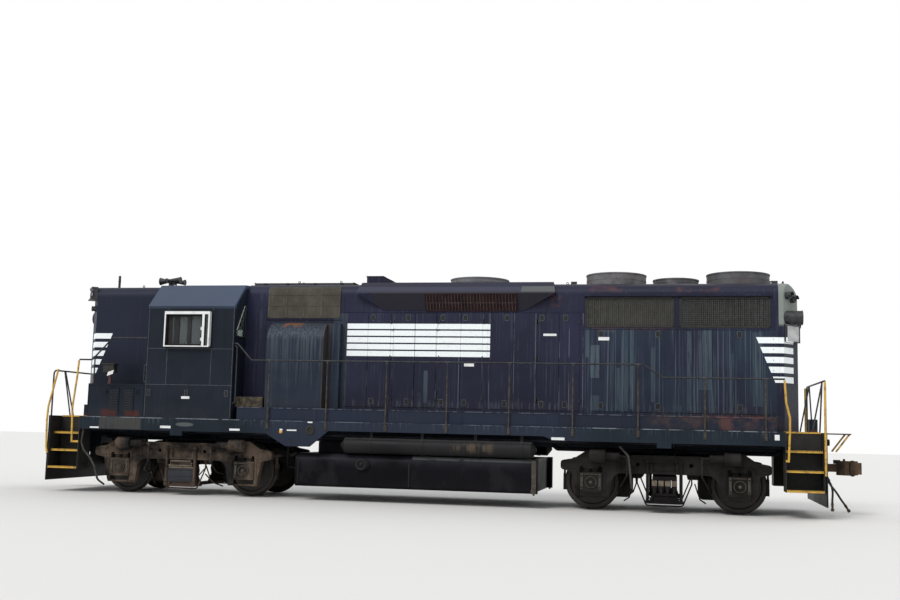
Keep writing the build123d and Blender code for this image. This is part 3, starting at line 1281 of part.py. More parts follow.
def make_wheelset(cx):
    """Two flanged wheels on their axle, turned as one outline about the axle line."""
    back = wheel_back_y
    face = back + rim_w
    web = back + 0.55 * rim_w
    outline = [(0, 0), (0, axle_r), (back - 40, axle_r), (back - 40, wheel_hub_r), (back + 20, wheel_hub_r),
               (web - web_t, wheel_hub_r + 30), (web - web_t / 2, wheel_r - rim_t - 20), (back, wheel_r - rim_t),
               (back, flange_r), (back + flange_w - 6, flange_r), (back + flange_w + 8, wheel_r + 2),
               (face, wheel_r - 4), (face, wheel_r - rim_t), (web + web_t / 2, wheel_r - rim_t - 20),
               (web + web_t / 2, wheel_hub_r + 30), (face + 15, wheel_hub_r), (face + 15, journal_r + 30),
               (journal_box_y[0] - 20, journal_r + 30), (journal_box_y[0] - 20, journal_r),
               (journal_end_y, journal_r), (journal_end_y, 0)]
    points = [(y, r) for y, r in outline] + [(-y, r) for y, r in reversed(outline[1:])]
    wire = Polyline([(0, y, r) for y, r in points[1:]], close=True)
    solid = revolve(make_face(wire), Axis.Y, 360)
    return Pos(cx, 0, rail_z + wheel_r) * solid


def make_hose(route):
    """Air hose along its route; returns the tube and prints its length and bend radii."""
    points = [Vector(*p) for p in route]
    runs = [(b - a).length for a, b in zip(points, points[1:])]
    radii = []
    for i in range(1, len(points) - 1):
        turn = (points[i] - points[i - 1]).get_angle(points[i + 1] - points[i])
        radii.append(0.45 * min(runs[i - 1], runs[i]) / math.tan(math.radians(turn) / 2))
    path = FilletPolyline(*points, radius=radii)
    tube = sweep(Plane(origin=path @ 0, z_dir=path % 0) * Circle(hose_r), path=path)
    ratio = tube.volume / (math.pi * hose_r ** 2 * path.length)
    print("hose length", round(path.length, 1), "volume ratio", round(ratio, 4), "radii", [round(r) for r in radii])
    return tube


def make_hose_couplings():
    """Coupling at the free end of each hose."""
    shapes = []
    for route in (hose_1_route, hose_2_route):
        a, b = Vector(*route[-2]), Vector(*route[-1])
        d = (b - a).normalized()
        tip = b + d * coupling_length
        shapes.append(rod(tuple(b), tuple(tip), coupling_r))
    return shapes


def build():
    parts["underframe"] = make_underframe()
    parts["end_plates"] = make_end_plates()
    parts["stepwells"] = make_stepwells()
    parts["fuel_tank"] = make_fuel_tank()
    parts["air_reservoirs"] = make_air_reservoirs()
    parts["air_duct"] = make_air_duct()
    parts["short_hood"] = make_short_hood()
    parts["battery_boxes"] = make_battery_boxes()
    parts["cab_sides"] = make_cab_sides()
    parts["cab_ends"] = make_cab_ends()
    parts["cab_roof"] = make_cab_roof()
    parts["cab_floor"] = make_cab_floor()
    parts["cab_window_frames"] = make_window_frames()
    parts["cab_glass"] = make_cab_glass()
    parts["cab_fittings"] = make_cab_fittings()
    for name, (end, side) in zip(("rear", "front"), cab_door_sides):
        parts[f"cab_door_{name}"] = make_cab_door(end, side)
    parts["long_hood"] = make_long_hood()
    number = 1
    for side in (-1, 1):
        for leaf in (0, 1):
            parts[f"hood_door_{number}"] = make_hood_door(1, leaf, side)
            number += 1
    parts["blower_housing"] = make_blower()
    parts["brake_blisters"] = make_blisters()
    parts["side_grilles"] = make_side_grilles()
    parts["fan_shrouds"] = make_fan_shrouds()
    for name, fx, dia, _ in fan_table:
        parts[name] = make_fan(fx, dia)
    parts["exhaust_stack"] = make_exhaust_stack()
    parts["roof_fittings"] = make_roof_fittings()
    parts["handrails"] = make_handrails()
    parts["corner_grabs"] = make_corner_grabs()
    parts["end_rails"] = make_end_rails()
    parts["end_lamps"] = make_end_lamps()
    parts["lamp_lenses"] = make_lamp_lenses()
    parts["engine"] = make_engine()
    for name, turn in (("front", 0), ("rear", 180)):
        parts[f"coupler_{name}"] = Rot(Z=turn) * make_coupler()
        parts[f"knuckle_{name}"] = Rot(Z=turn) * make_knuckle()
        parts[f"drop_step_{name}"] = Rot(Z=turn) * make_drop_step()
    for name, cx in (("front", truck_x), ("rear", -truck_x)):
        parts[f"truck_frame_{name}"] = in_truck(make_truck_frame(), cx)
        parts[f"truck_bolster_{name}"] = in_truck(make_truck_bolster(), cx)
        parts[f"journal_boxes_{name}"] = [in_truck(s, cx) for s in make_journal_boxes()]
        parts[f"traction_motors_{name}"] = [in_truck(s, cx) for s in make_traction_motors()]
    axle_places = (truck_x + truck_base / 2, truck_x - truck_base / 2,
                   -truck_x + truck_base / 2, -truck_x - truck_base / 2)
    for i, cx in enumerate(axle_places, 1):
        parts[f"wheelset_{i}"] = make_wheelset(cx)
    parts["brake_hose_1"] = make_hose(hose_1_route)
    parts["brake_hose_2"] = make_hose(hose_2_route)
    parts["hose_couplings"] = make_hose_couplings()


def write_parts():
    """One STEP file for each named piece."""
    os.makedirs("parts", exist_ok=True)
    for name, shape in parts.items():
        shapes = shape if isinstance(shape, list) else [shape]
        solids = [solid for item in shapes for solid in item.solids()]
        export_step(Compound(children=solids), f"parts/{name}.step")


build()
write_parts()
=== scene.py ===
import math

import bmesh
import bpy
from mathutils import Matrix, Vector


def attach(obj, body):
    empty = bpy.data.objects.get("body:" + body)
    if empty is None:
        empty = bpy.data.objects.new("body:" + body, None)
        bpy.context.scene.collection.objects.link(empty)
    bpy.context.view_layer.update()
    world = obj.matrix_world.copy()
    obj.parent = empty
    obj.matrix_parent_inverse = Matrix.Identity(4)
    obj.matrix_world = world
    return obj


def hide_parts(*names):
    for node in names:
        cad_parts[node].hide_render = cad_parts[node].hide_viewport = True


# A four-axle diesel locomotive dressed over its CAD frame. Metres, X to the front (long-hood end),
# Y to the left, Z up, with the rail top at RAIL. Heights below are given above the rail and go
# through up().

RAIL = 0.028
SIDES = (-1, 1)
HANDS = ((-1, "right"), (1, "left"))
ENDS = (-1, 1)

# Hood, cab and frame sizes that the fittings sit on
HOOD_Y = 0.915
PANEL_Y = 0.929
SIDE_Y = 1.53
DECK = 1.535
HOOD_FRONT = 7.38
NOSE_X = (-7.44, -5.62)
CAB_X = (-5.62, -3.71)
END_X = 7.77
DUCT_Y = 1.492
HOOD_TOP = 4.37
NOSE_TOP = 4.33
EAVE_R = 0.23
TRUCK_X = 4.877
AXLE = 1.3715
AXLE_Z = 0.508

bpy.context.scene.view_settings.view_transform = "Standard"
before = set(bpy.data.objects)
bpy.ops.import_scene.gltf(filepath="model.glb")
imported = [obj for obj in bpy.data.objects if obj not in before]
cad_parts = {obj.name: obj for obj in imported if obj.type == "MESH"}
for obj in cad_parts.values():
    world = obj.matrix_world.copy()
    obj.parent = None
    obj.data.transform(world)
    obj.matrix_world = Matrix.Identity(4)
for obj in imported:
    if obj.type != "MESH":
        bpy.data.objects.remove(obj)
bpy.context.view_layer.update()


def up(z):
    """A height above the rail as a height in the frame."""
    return z + RAIL


class Value:
    """A varying number in a node tree: arithmetic on it adds Math nodes."""

    def __init__(self, nodes, socket):
        self.nodes, self.socket = nodes, socket

    def math(self, operation, *others):
        return self.nodes.node("ShaderNodeMath", {"operation": operation}, [self, *others])

    def __add__(self, other):
        return self.math("ADD", other)

    def __mul__(self, other):
        return self.math("MULTIPLY", other)

    def __sub__(self, other):
        return self.math("SUBTRACT", other)

    def __rsub__(self, other):
        return self.nodes.node("ShaderNodeMath", {"operation": "SUBTRACT"}, [other, self])

    def __truediv__(self, other):
        return self.math("DIVIDE", other)

    def __abs__(self):
        return self.math("ABSOLUTE")

    def __pow__(self, other):
        return self.math("POWER", other)

    def __gt__(self, other):
        return self.math("GREATER_THAN", other)

    def __lt__(self, other):
        return self.math("LESS_THAN", other)

    def most(self, other):
        return self.math("MAXIMUM", other)

    def rise(self, low, high, to_low=0.0, to_high=1.0):
        """Smooth step from to_low at low to to_high at high."""
        return self.nodes.node("ShaderNodeMapRange", {"interpolation_type": "SMOOTHSTEP"},
                               [self, low, high, to_low, to_high])

    def between(self, low, high, soft=0.003):
        """One between low and high, with soft edges."""
        return self.rise(low - soft, low + soft) * self.rise(high + soft, high - soft)


class Nodes:
    """A node tree that nodes are added to."""

    def __init__(self, tree):
        self.tree = tree

    def node(self, kind, settings=None, values=None, out=0):
        made = self.tree.nodes.new(kind)
        for key, value in (settings or {}).items():
            setattr(made, key, value)
        pairs = values.items() if isinstance(values, dict) else enumerate(values or ())
        for key, value in pairs:
            self.feed(made.inputs[key], value)
        return Value(self, made.outputs[out])

    def feed(self, socket, value):
        """A number, a colour or another node's output into a socket."""
        if isinstance(value, Value):
            self.tree.links.new(value.socket, socket)
        elif socket.type == "RGBA" and len(value) == 3:
            socket.default_value = (*value, 1.0)
        else:
            socket.default_value = value

    def outputs(self, value):
        """All outputs of the node that gave this value."""
        return [Value(self, socket) for socket in value.socket.node.outputs]


class Paint(Nodes):
    """One surface finish."""

    def __init__(self, name, roughness=0.5, metallic=0.0):
        self.material = bpy.data.materials.new(name)
        self.material.use_nodes = True
        super().__init__(self.material.node_tree)
        self.tree.nodes.clear()
        self.shader = self.tree.nodes.new("ShaderNodeBsdfPrincipled")
        last = self.tree.nodes.new("ShaderNodeOutputMaterial")
        self.tree.links.new(self.shader.outputs[0], last.inputs[0])
        self.set(Roughness=roughness, Metallic=metallic)
        self.place = self.node("ShaderNodeTexCoord", out="Object")
        self.x, self.y, self.z = self.outputs(self.node("ShaderNodeSeparateXYZ", None, [self.place]))
        facing = self.node("ShaderNodeNewGeometry", out="Normal")
        self.facing_up = self.outputs(self.node("ShaderNodeSeparateXYZ", None, [facing]))[2]

    def set(self, **values):
        for key, value in values.items():
            self.feed(self.shader.inputs[key.replace("_", " ")], value)

    def noise(self, scale, detail=4.0, rough=0.55, stretch=(1, 1, 1), shift=(0, 0, 0)):
        where = self.node("ShaderNodeMapping", None,
                          {"Vector": self.place, "Location": shift, "Scale": stretch})
        return self.node("ShaderNodeTexNoise", None,
                         {"Vector": where, "Scale": scale, "Detail": detail, "Roughness": rough})

    def mix(self, share, first, second):
        return self.node("ShaderNodeMix", {"data_type": "RGBA"}, {0: share, 6: first, 7: second}, out=2)

    def layer(self, share, tint):
        """A tint laid over the colour so far."""
        self.colour = self.mix(share, self.colour, tint)

    def bump(self, height, distance, strength):
        self.set(Normal=self.node("ShaderNodeBump", None, {"Strength": strength, "Distance": distance,
                                                           "Height": height}))

    def box(self, x, z, soft=0.02):
        """One inside a rectangle of the side view."""
        return self.x.between(x[0], x[1], soft) * self.z.between(up(z[0]), up(z[1]), soft)


def black_coat(paint, dark, faded, streak_share, streak_tint, dust_low, dust_high, dust_tint,
               markings, gloss):
    """Old black paint: blotches, sharp pale runs that start and stop, dust low down, chips, a dull bump."""
    cloud = paint.noise(0.55, 6, 0.6)
    grime = paint.noise(3.1, 5, 0.6, shift=(4, 2, 7))
    paint.colour = paint.mix(cloud.rise(0.36, 0.66), dark, faded)
    upright = abs(paint.facing_up).rise(0.75, 0.35)
    patches = paint.noise(1.3, 4, 0.6, stretch=(1, 1, 0.8), shift=(6, 4, 2)).rise(0.44, 0.60)
    hairs = paint.noise(1.0, 3, 0.65, stretch=(46, 46, 0.42)).rise(0.55, 0.66)
    runs = paint.noise(1.0, 4, 0.6, stretch=(15, 15, 0.35), shift=(3, 1, 0)).rise(0.56, 0.68)
    streaks = (hairs * 0.75 * patches).most(runs * 0.55 * grime.rise(0.35, 0.60)) * upright
    paint.layer(streaks * streak_share, streak_tint)
    dust = paint.z.rise(up(dust_high), up(dust_low)) * grime.rise(0.30, 0.60)
    top_dust = paint.facing_up.rise(0.55, 0.95) * 0.45
    paint.layer((dust * 0.40).most(top_dust), dust_tint)
    chips = paint.noise(26, 3, 0.7, shift=(9, 0, 2)).rise(0.70, 0.76) * grime.rise(0.45, 0.7)
    paint.layer(chips * 0.35, (0.070, 0.045, 0.038))
    if markings:
        markings(paint, grime)
    paint.set(Base_Color=paint.colour, Specular_IOR_Level=gloss)
    paint.set(Roughness=cloud.rise(0.3, 0.7, 0.40, 0.58) + streaks * 0.2)
    dents = paint.noise(1.6, 2, 0.4, shift=(1, 5, 3))
    paint.bump(dents * 1.0 + paint.noise(60, 3, 0.6) * 0.03, 0.012, 0.55)
    return paint


def stripe_white(paint, grime):
    """Worn white of the speed stripes."""
    wear = paint.noise(9, 5, 0.65, shift=(2, 8, 1))
    return paint.mix(wear.rise(0.54, 0.76) * 0.30 + grime.rise(0.5, 0.8) * 0.08, (0.90, 0.93, 0.92),
                     (0.48, 0.50, 0.50))


# Worn door edges: x
SEAM_WEAR = (-0.085, 0.375, 0.840, 1.315, 1.455, 1.945, 2.380, 2.850, 3.040, 3.310, -1.06, -0.53)
# Bleached patches, all but one below the radiators: x, z and strength
PALE_BANDS = (
    ((3.36, 3.425), (2.90, 3.45), 0.45), ((3.455, 3.630), (2.50, 3.14), 0.55),
    ((3.462, 3.634), (1.87, 2.16), 0.45), ((3.965, 4.03), (1.88, 2.70), 0.40),
    ((4.115, 4.18), (1.88, 3.45), 0.40), ((4.222, 4.29), (1.91, 3.45), 0.50),
    ((3.65, 3.92), (3.39, 3.45), 0.35), ((0.127, 0.21), (1.96, 2.60), 0.40),
    ((4.62, 4.70), (2.05, 3.10), 0.35), ((5.30, 5.38), (1.90, 3.42), 0.40),
    ((5.52, 5.76), (2.30, 3.44), 0.35), ((6.10, 6.17), (1.88, 3.00), 0.35),
    ((6.52, 6.70), (2.00, 3.40), 0.30))


def hood_markings(paint, grime):
    """Speed stripes, worn door edges, bleached patches and patches of dark rust on the hoods, with painted
    shade and painted light on the brake housings.
    """
    flank = abs(paint.y) > HOOD_Y - 0.03
    pitch = 0.139
    bar = ((paint.z - up(2.88)) / pitch).math("FRACT") < 0.78
    side_bars = paint.box((-1.50, 1.465), (2.88, 3.56), 0.002) * bar * flank
    pitch_end = 0.186
    end_bar = ((paint.z - up(2.455)) / pitch_end).math("FRACT") < 0.62
    zone = paint.z.between(up(2.455), up(3.315), 0.002) * end_bar * (abs(paint.y) > HOOD_Y - 0.30)
    slant = (up(3.31) - paint.z) * 0.40
    front = (paint.x > slant + 6.585) * (paint.x < 7.285)
    rear = (paint.x < -6.75 - slant) * (paint.x > -7.34)
    bars = side_bars.most(zone * front.most(rear))
    rub = paint.noise(1.0, 3, 0.65, stretch=(8, 8, 1.5), shift=(1, 0, 4)).rise(0.44, 0.56)
    seams = paint.x.between(SEAM_WEAR[0] - 0.007, SEAM_WEAR[0] + 0.007, 0.002)
    for x in SEAM_WEAR[1:]:
        seams = seams.most(paint.x.between(x - 0.007, x + 0.007, 0.002))
    seams = seams * paint.z.between(up(1.86), up(3.76), 0.01) * rub * flank
    paint.layer(seams * 0.75, (0.125, 0.130, 0.150))
    feet = (paint.z.between(up(1.86), up(1.99), 0.05) * (paint.y < 0)).most(
        paint.z.between(up(1.56), up(1.69), 0.05) * (paint.y > 0)) * (abs(paint.x - 2.0) < 4.9)
    scrape = paint.noise(1.0, 4, 0.65, stretch=(24, 24, 2.0), shift=(5, 2, 1)).rise(0.50, 0.62)
    paint.layer(feet * scrape * flank * 0.55, (0.085, 0.088, 0.105))
    ragged = paint.noise(1.0, 5, 0.7, stretch=(30, 30, 1.6), shift=(7, 2, 0)).rise(0.34, 0.52)
    teal = (0.095, 0.135, 0.150)
    for x, z, strength in PALE_BANDS:
        paint.layer(paint.box(x, z, 0.006) * ragged * flank * strength, teal)
    nose = paint.x < NOSE_X[1]
    paint.layer(nose * 0.55, (0.0035, 0.0085, 0.0190))
    paint.layer(nose * paint.z.rise(up(3.0), up(2.5)) * 0.55, (0.0020, 0.0050, 0.0120))
    # Painted shade: the downward-facing slope of each brake housing is laid over in a flat tone with less of
    # the body's blue.
    slope = paint.box((-0.95, 2.95), (3.79, 4.19), 0.01) * (abs(paint.y) > HOOD_Y + 0.01)
    paint.layer(slope * 0.8, (0.0230, 0.0200, 0.0270))
    # Painted light: the upward-facing band at the top of each brake housing is lightened with a bluish tone.
    painted_light_crest = paint.box((-1.30, 2.09), (4.19, 4.36), 0.01) * (abs(paint.y) > HOOD_Y + 0.01)
    paint.layer(painted_light_crest * 0.30, (0.075, 0.078, 0.125))
    # Painted light: paler grey-green still where that upper band runs out at the housing's front end.
    painted_light_end = paint.box((2.09, 2.84), (4.18, 4.36), 0.008) * (abs(paint.y) > HOOD_Y)
    paint.layer(painted_light_end * 0.75, (0.110, 0.118, 0.112))
    duct = (paint.z < up(1.79)) * (abs(paint.y) > 1.40)
    paint.layer(duct * 0.65, (0.0090, 0.0160, 0.0340))
    paint.layer(duct * (paint.x > 2.9) * 0.45, (0.0045, 0.0080, 0.0160))
    scuffed = paint.box((-1.80, -1.50), (1.80, 3.75), 0.02) * flank
    paint.layer(scuffed * grime.rise(0.2, 0.5) * 0.80, (0.042, 0.054, 0.072))
    ledge = paint.z.between(up(1.772), up(1.790), 0.002) * (abs(paint.y) > 1.40) * rub
    paint.layer(ledge * 0.6, (0.110, 0.120, 0.140))
    radiator = paint.box((3.35, 6.95), (1.80, 3.46), 0.03) * (abs(paint.y) > HOOD_Y - 0.02)
    paint.layer(radiator * paint.noise(0.9, 3).rise(0.35, 0.65) * 0.55, (0.016, 0.033, 0.050))
    hairs = paint.noise(1.0, 3, 0.6, stretch=(38, 38, 0.30), shift=(2, 9, 0)).rise(0.55, 0.63)
    paint.layer(hairs * radiator * 0.50, teal)
    rust = paint.noise(5, 7, 0.72, stretch=(1, 1, 0.8), shift=(0, 3, 9))
    places = paint.box((3.45, 4.05), (4.20, 4.30), 0.05)
    for x, z in (((5.10, 5.40), (4.18, 4.29)), ((5.55, 5.92), (4.18, 4.29)), ((2.68, 2.88), (3.90, 4.12)),
                 ((3.40, 5.05), (3.44, 3.49)), ((5.90, 6.15), (1.54, 1.80)), ((6.40, 6.75), (1.60, 1.82))):
        places = places.most(paint.box(x, z, 0.045))
    paint.layer(places * rust.rise(0.40, 0.58) * 0.80, (0.080, 0.030, 0.034))
    flakes = paint.noise(1.0, 8, 0.78, stretch=(9, 22, 9), shift=(1, 3, 9)).rise(0.36, 0.66)
    edge = paint.x.rise(5.05, 5.70) * paint.x.rise(7.05, 6.60) * paint.z.between(up(1.775), up(1.83), 0.012)
    edge = edge * flakes * (abs(paint.y).rise(1.00, 1.45) * 0.75 + 0.25)
    paint.layer(edge * 0.60, (0.24, 0.060, 0.032))
    duct_rust = paint.box((4.6, 7.02), (1.56, 1.80), 0.20) * rust.rise(0.42, 0.62)
    paint.layer(duct_rust * 0.60, (0.075, 0.040, 0.028))
    end_fade = (paint.x > 7.00) * paint.z.between(up(3.55), up(4.6), 0.04) * (abs(paint.y) > 0.48)
    paint.layer(end_fade * 0.92, (0.24, 0.26, 0.235))
    low_fade = (paint.x > 7.10) * paint.z.between(up(1.8), up(3.6), 0.1)
    paint.layer(low_fade * 0.35, (0.055, 0.065, 0.068))
    paint.layer(bars, stripe_white(paint, grime))


def blower_markings(paint, grime):
    """Greenish bleached housing with rust at its crown and brown edge strips."""
    bleach = paint.noise(1.0, 4, 0.6, stretch=(26, 26, 0.30), shift=(2, 2, 0)).rise(0.46, 0.60)
    paint.layer(bleach * paint.z.rise(up(2.0), up(3.3)) * 0.50, (0.070, 0.090, 0.105))
    crown = paint.box((-2.80, -2.38), (3.46, 3.62), 0.06) * paint.noise(7, 5, 0.7).rise(0.40, 0.60)
    paint.layer(crown * 0.9, (0.22, 0.085, 0.028))
    strip = paint.x.between(-1.90, -1.80, 0.02).most(paint.x.between(-3.13, -3.07, 0.02))
    paint.layer(strip * grime.rise(0.25, 0.55) * 0.6, (0.050, 0.035, 0.027))
    filter_box = paint.box((-3.72, -3.09), (1.77, 2.03), 0.002)
    brown = paint.mix(paint.noise(8, 5, 0.7).rise(0.42, 0.60), (0.026, 0.021, 0.016), (0.085, 0.066, 0.042))
    paint.layer(filter_box, brown)


def cab_markings(paint, grime):
    """Dark red primer over the feet of the battery boxes."""
    red = paint.noise(9, 5, 0.7, shift=(5, 5, 5)).rise(0.34, 0.46)
    zone = paint.box((-6.56, -6.22), (1.55, 1.69), 0.025).most(paint.box((-6.04, -5.72), (1.55, 1.67), 0.025))
    paint.layer(zone * red * 0.9, (0.060, 0.018, 0.016))


def sill_markings(paint, grime):
    """Grey primer patch, oval scuff, ragged pale deck edge that is partly wear and partly a painted
    highlight, dark red ends of the deck and dark plows.
    """
    flank = abs(paint.y) > SIDE_Y - 0.02
    patch = paint.box((-6.60, -5.66), (1.29, 1.56), 0.015) * flank
    scuffs = paint.noise(1.0, 4, 0.65, stretch=(9, 9, 0.8), shift=(3, 3, 3)).rise(0.35, 0.60)
    paint.layer(patch * (scuffs * 0.4 + 0.55), (0.052, 0.050, 0.046))
    oval = 1.0 - (((paint.x + 4.70) / 0.21) ** 2.0 + ((paint.z - up(1.41)) / 0.045) ** 2.0)
    paint.layer(oval.rise(0.0, 0.3) * flank * 0.7, (0.105, 0.120, 0.115))
    rub = paint.noise(1.0, 5, 0.7, stretch=(3.0, 3.0, 1.0), shift=(2, 4, 1)).rise(0.44, 0.60)
    # The deck's top edge: ragged pale wear, laid on as a painted highlight along the edge.
    lip = paint.z.between(up(1.520), up(1.540), 0.003) * rub * (abs(paint.x) < 6.9)
    paint.layer(lip * flank * 0.8, (0.24, 0.27, 0.29))
    middle = paint.x.rise(-3.4, -2.6) * paint.x.rise(3.6, 2.8) * flank
    paint.layer(middle * 0.55, (0.0230, 0.0290, 0.0520))
    drips = paint.noise(1.0, 4, 0.65, stretch=(24, 24, 1.2), shift=(8, 4, 1)).rise(0.55, 0.66)
    scrape = paint.z.rise(up(1.36), up(1.52)) * drips * (abs(paint.x) < 6.9)
    paint.layer(scrape * flank * 0.40, (0.085, 0.105, 0.120))
    edge = (abs(paint.x) > 7.03) * paint.z.between(up(1.49), up(1.60), 0.004)
    paint.layer(edge * 0.7, (0.085, 0.030, 0.028))
    plow = (abs(paint.x) > 6.90) * (paint.z < up(0.60))
    paint.layer(plow * 0.8, (0.0085, 0.0070, 0.0060))


def tank_markings(paint, grime):
    """Painted satin sheen towards the tank's crown and a painted sky reflection along the crown."""
    # Painted sheen: lighter towards the top of the tank.
    sheen = paint.z.rise(up(0.60), up(0.90)) * paint.noise(1.4, 4).rise(0.30, 0.60)
    paint.layer(sheen * 0.55, (0.034, 0.034, 0.044))
    wet = paint.noise(2.4, 4, 0.6, stretch=(1, 1, 0.6), shift=(4, 1, 2)).rise(0.52, 0.66)
    paint.layer(wet * 0.30, (0.026, 0.025, 0.028))
    # Painted reflection of the sky: a pale band along the top of the tank.
    crown = paint.box((0.03, 2.40), (0.835, 0.925), 0.020) * paint.noise(3.5, 5, 0.65).rise(0.28, 0.48)
    paint.layer(crown * 0.8, (0.190, 0.190, 0.195))


def reservoir_markings(paint, grime):
    """Painted highlight along the crown and soft tan fuel stains on the air reservoirs."""
    # Painted highlight: a pale line along the top of each reservoir.
    crown = paint.z.between(up(1.205), up(1.250), 0.012) * grime.rise(0.3, 0.5)
    paint.layer(crown * 0.6, (0.085, 0.080, 0.082))
    runs = paint.noise(1.0, 2, 0.5, stretch=(11, 11, 0.4), shift=(1, 1, 1)).rise(0.42, 0.62)
    stain = paint.box((0.86, 1.64), (1.00, 1.17), 0.07) * runs
    paint.layer(stain * 0.65, (0.105, 0.078, 0.050))


def iron_coat(paint, dark, dust, brown_side=True):
    """Cast iron under road dust and oil, browner towards the rear of the locomotive."""
    lumps = paint.noise(5, 6, 0.65)
    grime = paint.noise(1.7, 5, 0.6, shift=(2, 2, 2))
    paint.colour = paint.mix(lumps.rise(0.35, 0.65), dark, tuple(0.55 * c for c in dust))
    brown = paint.x.rise(2.0, -3.0) if brown_side else 0.5
    thick = grime.rise(0.38, 0.66) * 0.50 + paint.facing_up.rise(0.1, 0.8) * 0.45
    paint.layer(thick, dust)
    rear = tuple(c * k for c, k in zip(dust, (4.0, 3.2, 2.5)))
    paint.layer(grime.rise(0.40, 0.66) * brown * 0.75, rear)
    oil = paint.noise(2.6, 4, 0.6, shift=(7, 1, 4)).rise(0.56, 0.70)
    paint.layer(oil * 0.75, (0.012, 0.011, 0.010))
    paint.set(Base_Color=paint.colour, Roughness=oil.rise(0, 1, 0.82, 0.45), Specular_IOR_Level=0.09)
    paint.bump(lumps * 0.5 + paint.noise(45, 4, 0.7) * 0.35, 0.006, 0.7)
    return paint


# Black coats: fresh and faded tone, share and tint of the runs, heights and tint of the dust, markings, gloss
COATS = {
    "hood": ((0.0093, 0.0103, 0.0265), (0.0165, 0.0182, 0.0435), 0.60, (0.070, 0.078, 0.100),
             1.5, 2.2, (0.030, 0.028, 0.030), hood_markings, 0.19),
    "blower": ((0.0090, 0.0150, 0.0290), (0.0200, 0.0290, 0.0480), 0.55, (0.085, 0.100, 0.115),
               1.5, 2.2, (0.034, 0.033, 0.033), blower_markings, 0.20),
    "cab": ((0.0052, 0.0085, 0.0150), (0.0100, 0.0145, 0.0245), 0.25, (0.045, 0.056, 0.075),
            1.5, 1.9, (0.024, 0.024, 0.025), cab_markings, 0.14),
    "roof": ((0.023, 0.040, 0.074), (0.036, 0.057, 0.104), 0.15, (0.08, 0.10, 0.13),
             3.7, 4.0, (0.045, 0.060, 0.085), None, 0.35),
    "sill": ((0.0070, 0.0115, 0.0180), (0.0135, 0.0200, 0.0290), 0.45, (0.050, 0.066, 0.082),
             0.2, 1.3, (0.024, 0.023, 0.022), sill_markings, 0.14),
    # The tank's two tones are black paint darkened further as painted shade from the deck above it; the
    # pipes, conduits and stack lip in this finish share them.
    "tank": ((0.0018, 0.0016, 0.0030), (0.0050, 0.0046, 0.0068), 0.12, (0.030, 0.027, 0.026),
             0.2, 0.5, (0.012, 0.010, 0.009), tank_markings, 0.07),
    "reservoir": ((0.0100, 0.0092, 0.0105), (0.0200, 0.0185, 0.0195), 0.15, (0.045, 0.040, 0.036),
                  0.2, 0.6, (0.020, 0.017, 0.015), reservoir_markings, 0.12),
}


def wheel_steel():
    """Wheels: oily brown plates and treads worn bright."""
    paint = Paint("wheel_steel")
    grime = paint.noise(6, 5, 0.6)
    tread = abs(paint.y).between(0.69, 0.82, 0.004)
    plate = paint.mix(grime.rise(0.35, 0.7), (0.0060, 0.0050, 0.0045), (0.022, 0.016, 0.012))
    paint.set(Base_Color=paint.mix(tread * 0.30, plate, (0.14, 0.13, 0.12)), Metallic=tread * 0.3,
              Roughness=tread.rise(0, 1, 0.80, 0.50), Specular_IOR_Level=0.12)
    paint.bump(grime, 0.003, 0.5)
    return paint


def grille_brown():
    """Screens clogged with khaki dust, greyer towards the front."""
    paint = Paint("grille_brown", 0.85)
    dust = paint.noise(4, 5, 0.65)
    runs = paint.noise(1.0, 3, 0.6, stretch=(10, 10, 0.5)).rise(0.45, 0.7)
    khaki = paint.mix(dust.rise(0.3, 0.7), (0.050, 0.043, 0.032), (0.084, 0.074, 0.057))
    grey = paint.mix(dust.rise(0.3, 0.7), (0.014, 0.016, 0.018), (0.030, 0.034, 0.037))
    middle = paint.mix(dust.rise(0.3, 0.7), (0.036, 0.036, 0.032), (0.062, 0.061, 0.054))
    paint.colour = paint.mix(paint.x > 0.0, khaki, middle)
    paint.layer(paint.x > 5.1, grey)
    paint.layer(runs * 0.3, (0.030, 0.026, 0.020))
    paint.set(Base_Color=paint.colour)
    paint.bump(dust, 0.004, 0.4)
    return paint


def brake_red():
    """Dark red-brown backing and frame of the brake grilles."""
    paint = Paint("brake_red", 0.75)
    soot = paint.noise(5, 5, 0.6)
    paint.set(Base_Color=paint.mix(soot.rise(0.35, 0.65), (0.016, 0.0085, 0.011), (0.036, 0.016, 0.018)),
              Specular_IOR_Level=0.15)
    paint.bump(soot, 0.002, 0.4)
    return paint


def fan_grey():
    """Fan housings: grey paint gone brown with exhaust dust."""
    paint = Paint("fan_grey", 0.7)
    soot = paint.noise(3.2, 5, 0.6)
    speck = paint.noise(24, 3, 0.7).rise(0.62, 0.70)
    paint.colour = paint.mix(soot.rise(0.35, 0.65), (0.062, 0.060, 0.067), (0.150, 0.142, 0.146))
    stains = paint.noise(2.1, 4, shift=(3, 3, 3)).rise(0.46, 0.66)
    paint.layer(stains * 0.6, (0.135, 0.085, 0.075))
    paint.layer((paint.x > 5.65) * 0.45, (0.030, 0.036, 0.040))
    paint.layer((paint.x < 2.5) * 0.35, (0.230, 0.235, 0.255))
    paint.layer(speck * 0.5, (0.16, 0.15, 0.13))
    paint.set(Base_Color=paint.colour)
    paint.bump(soot, 0.003, 0.5)
    return paint


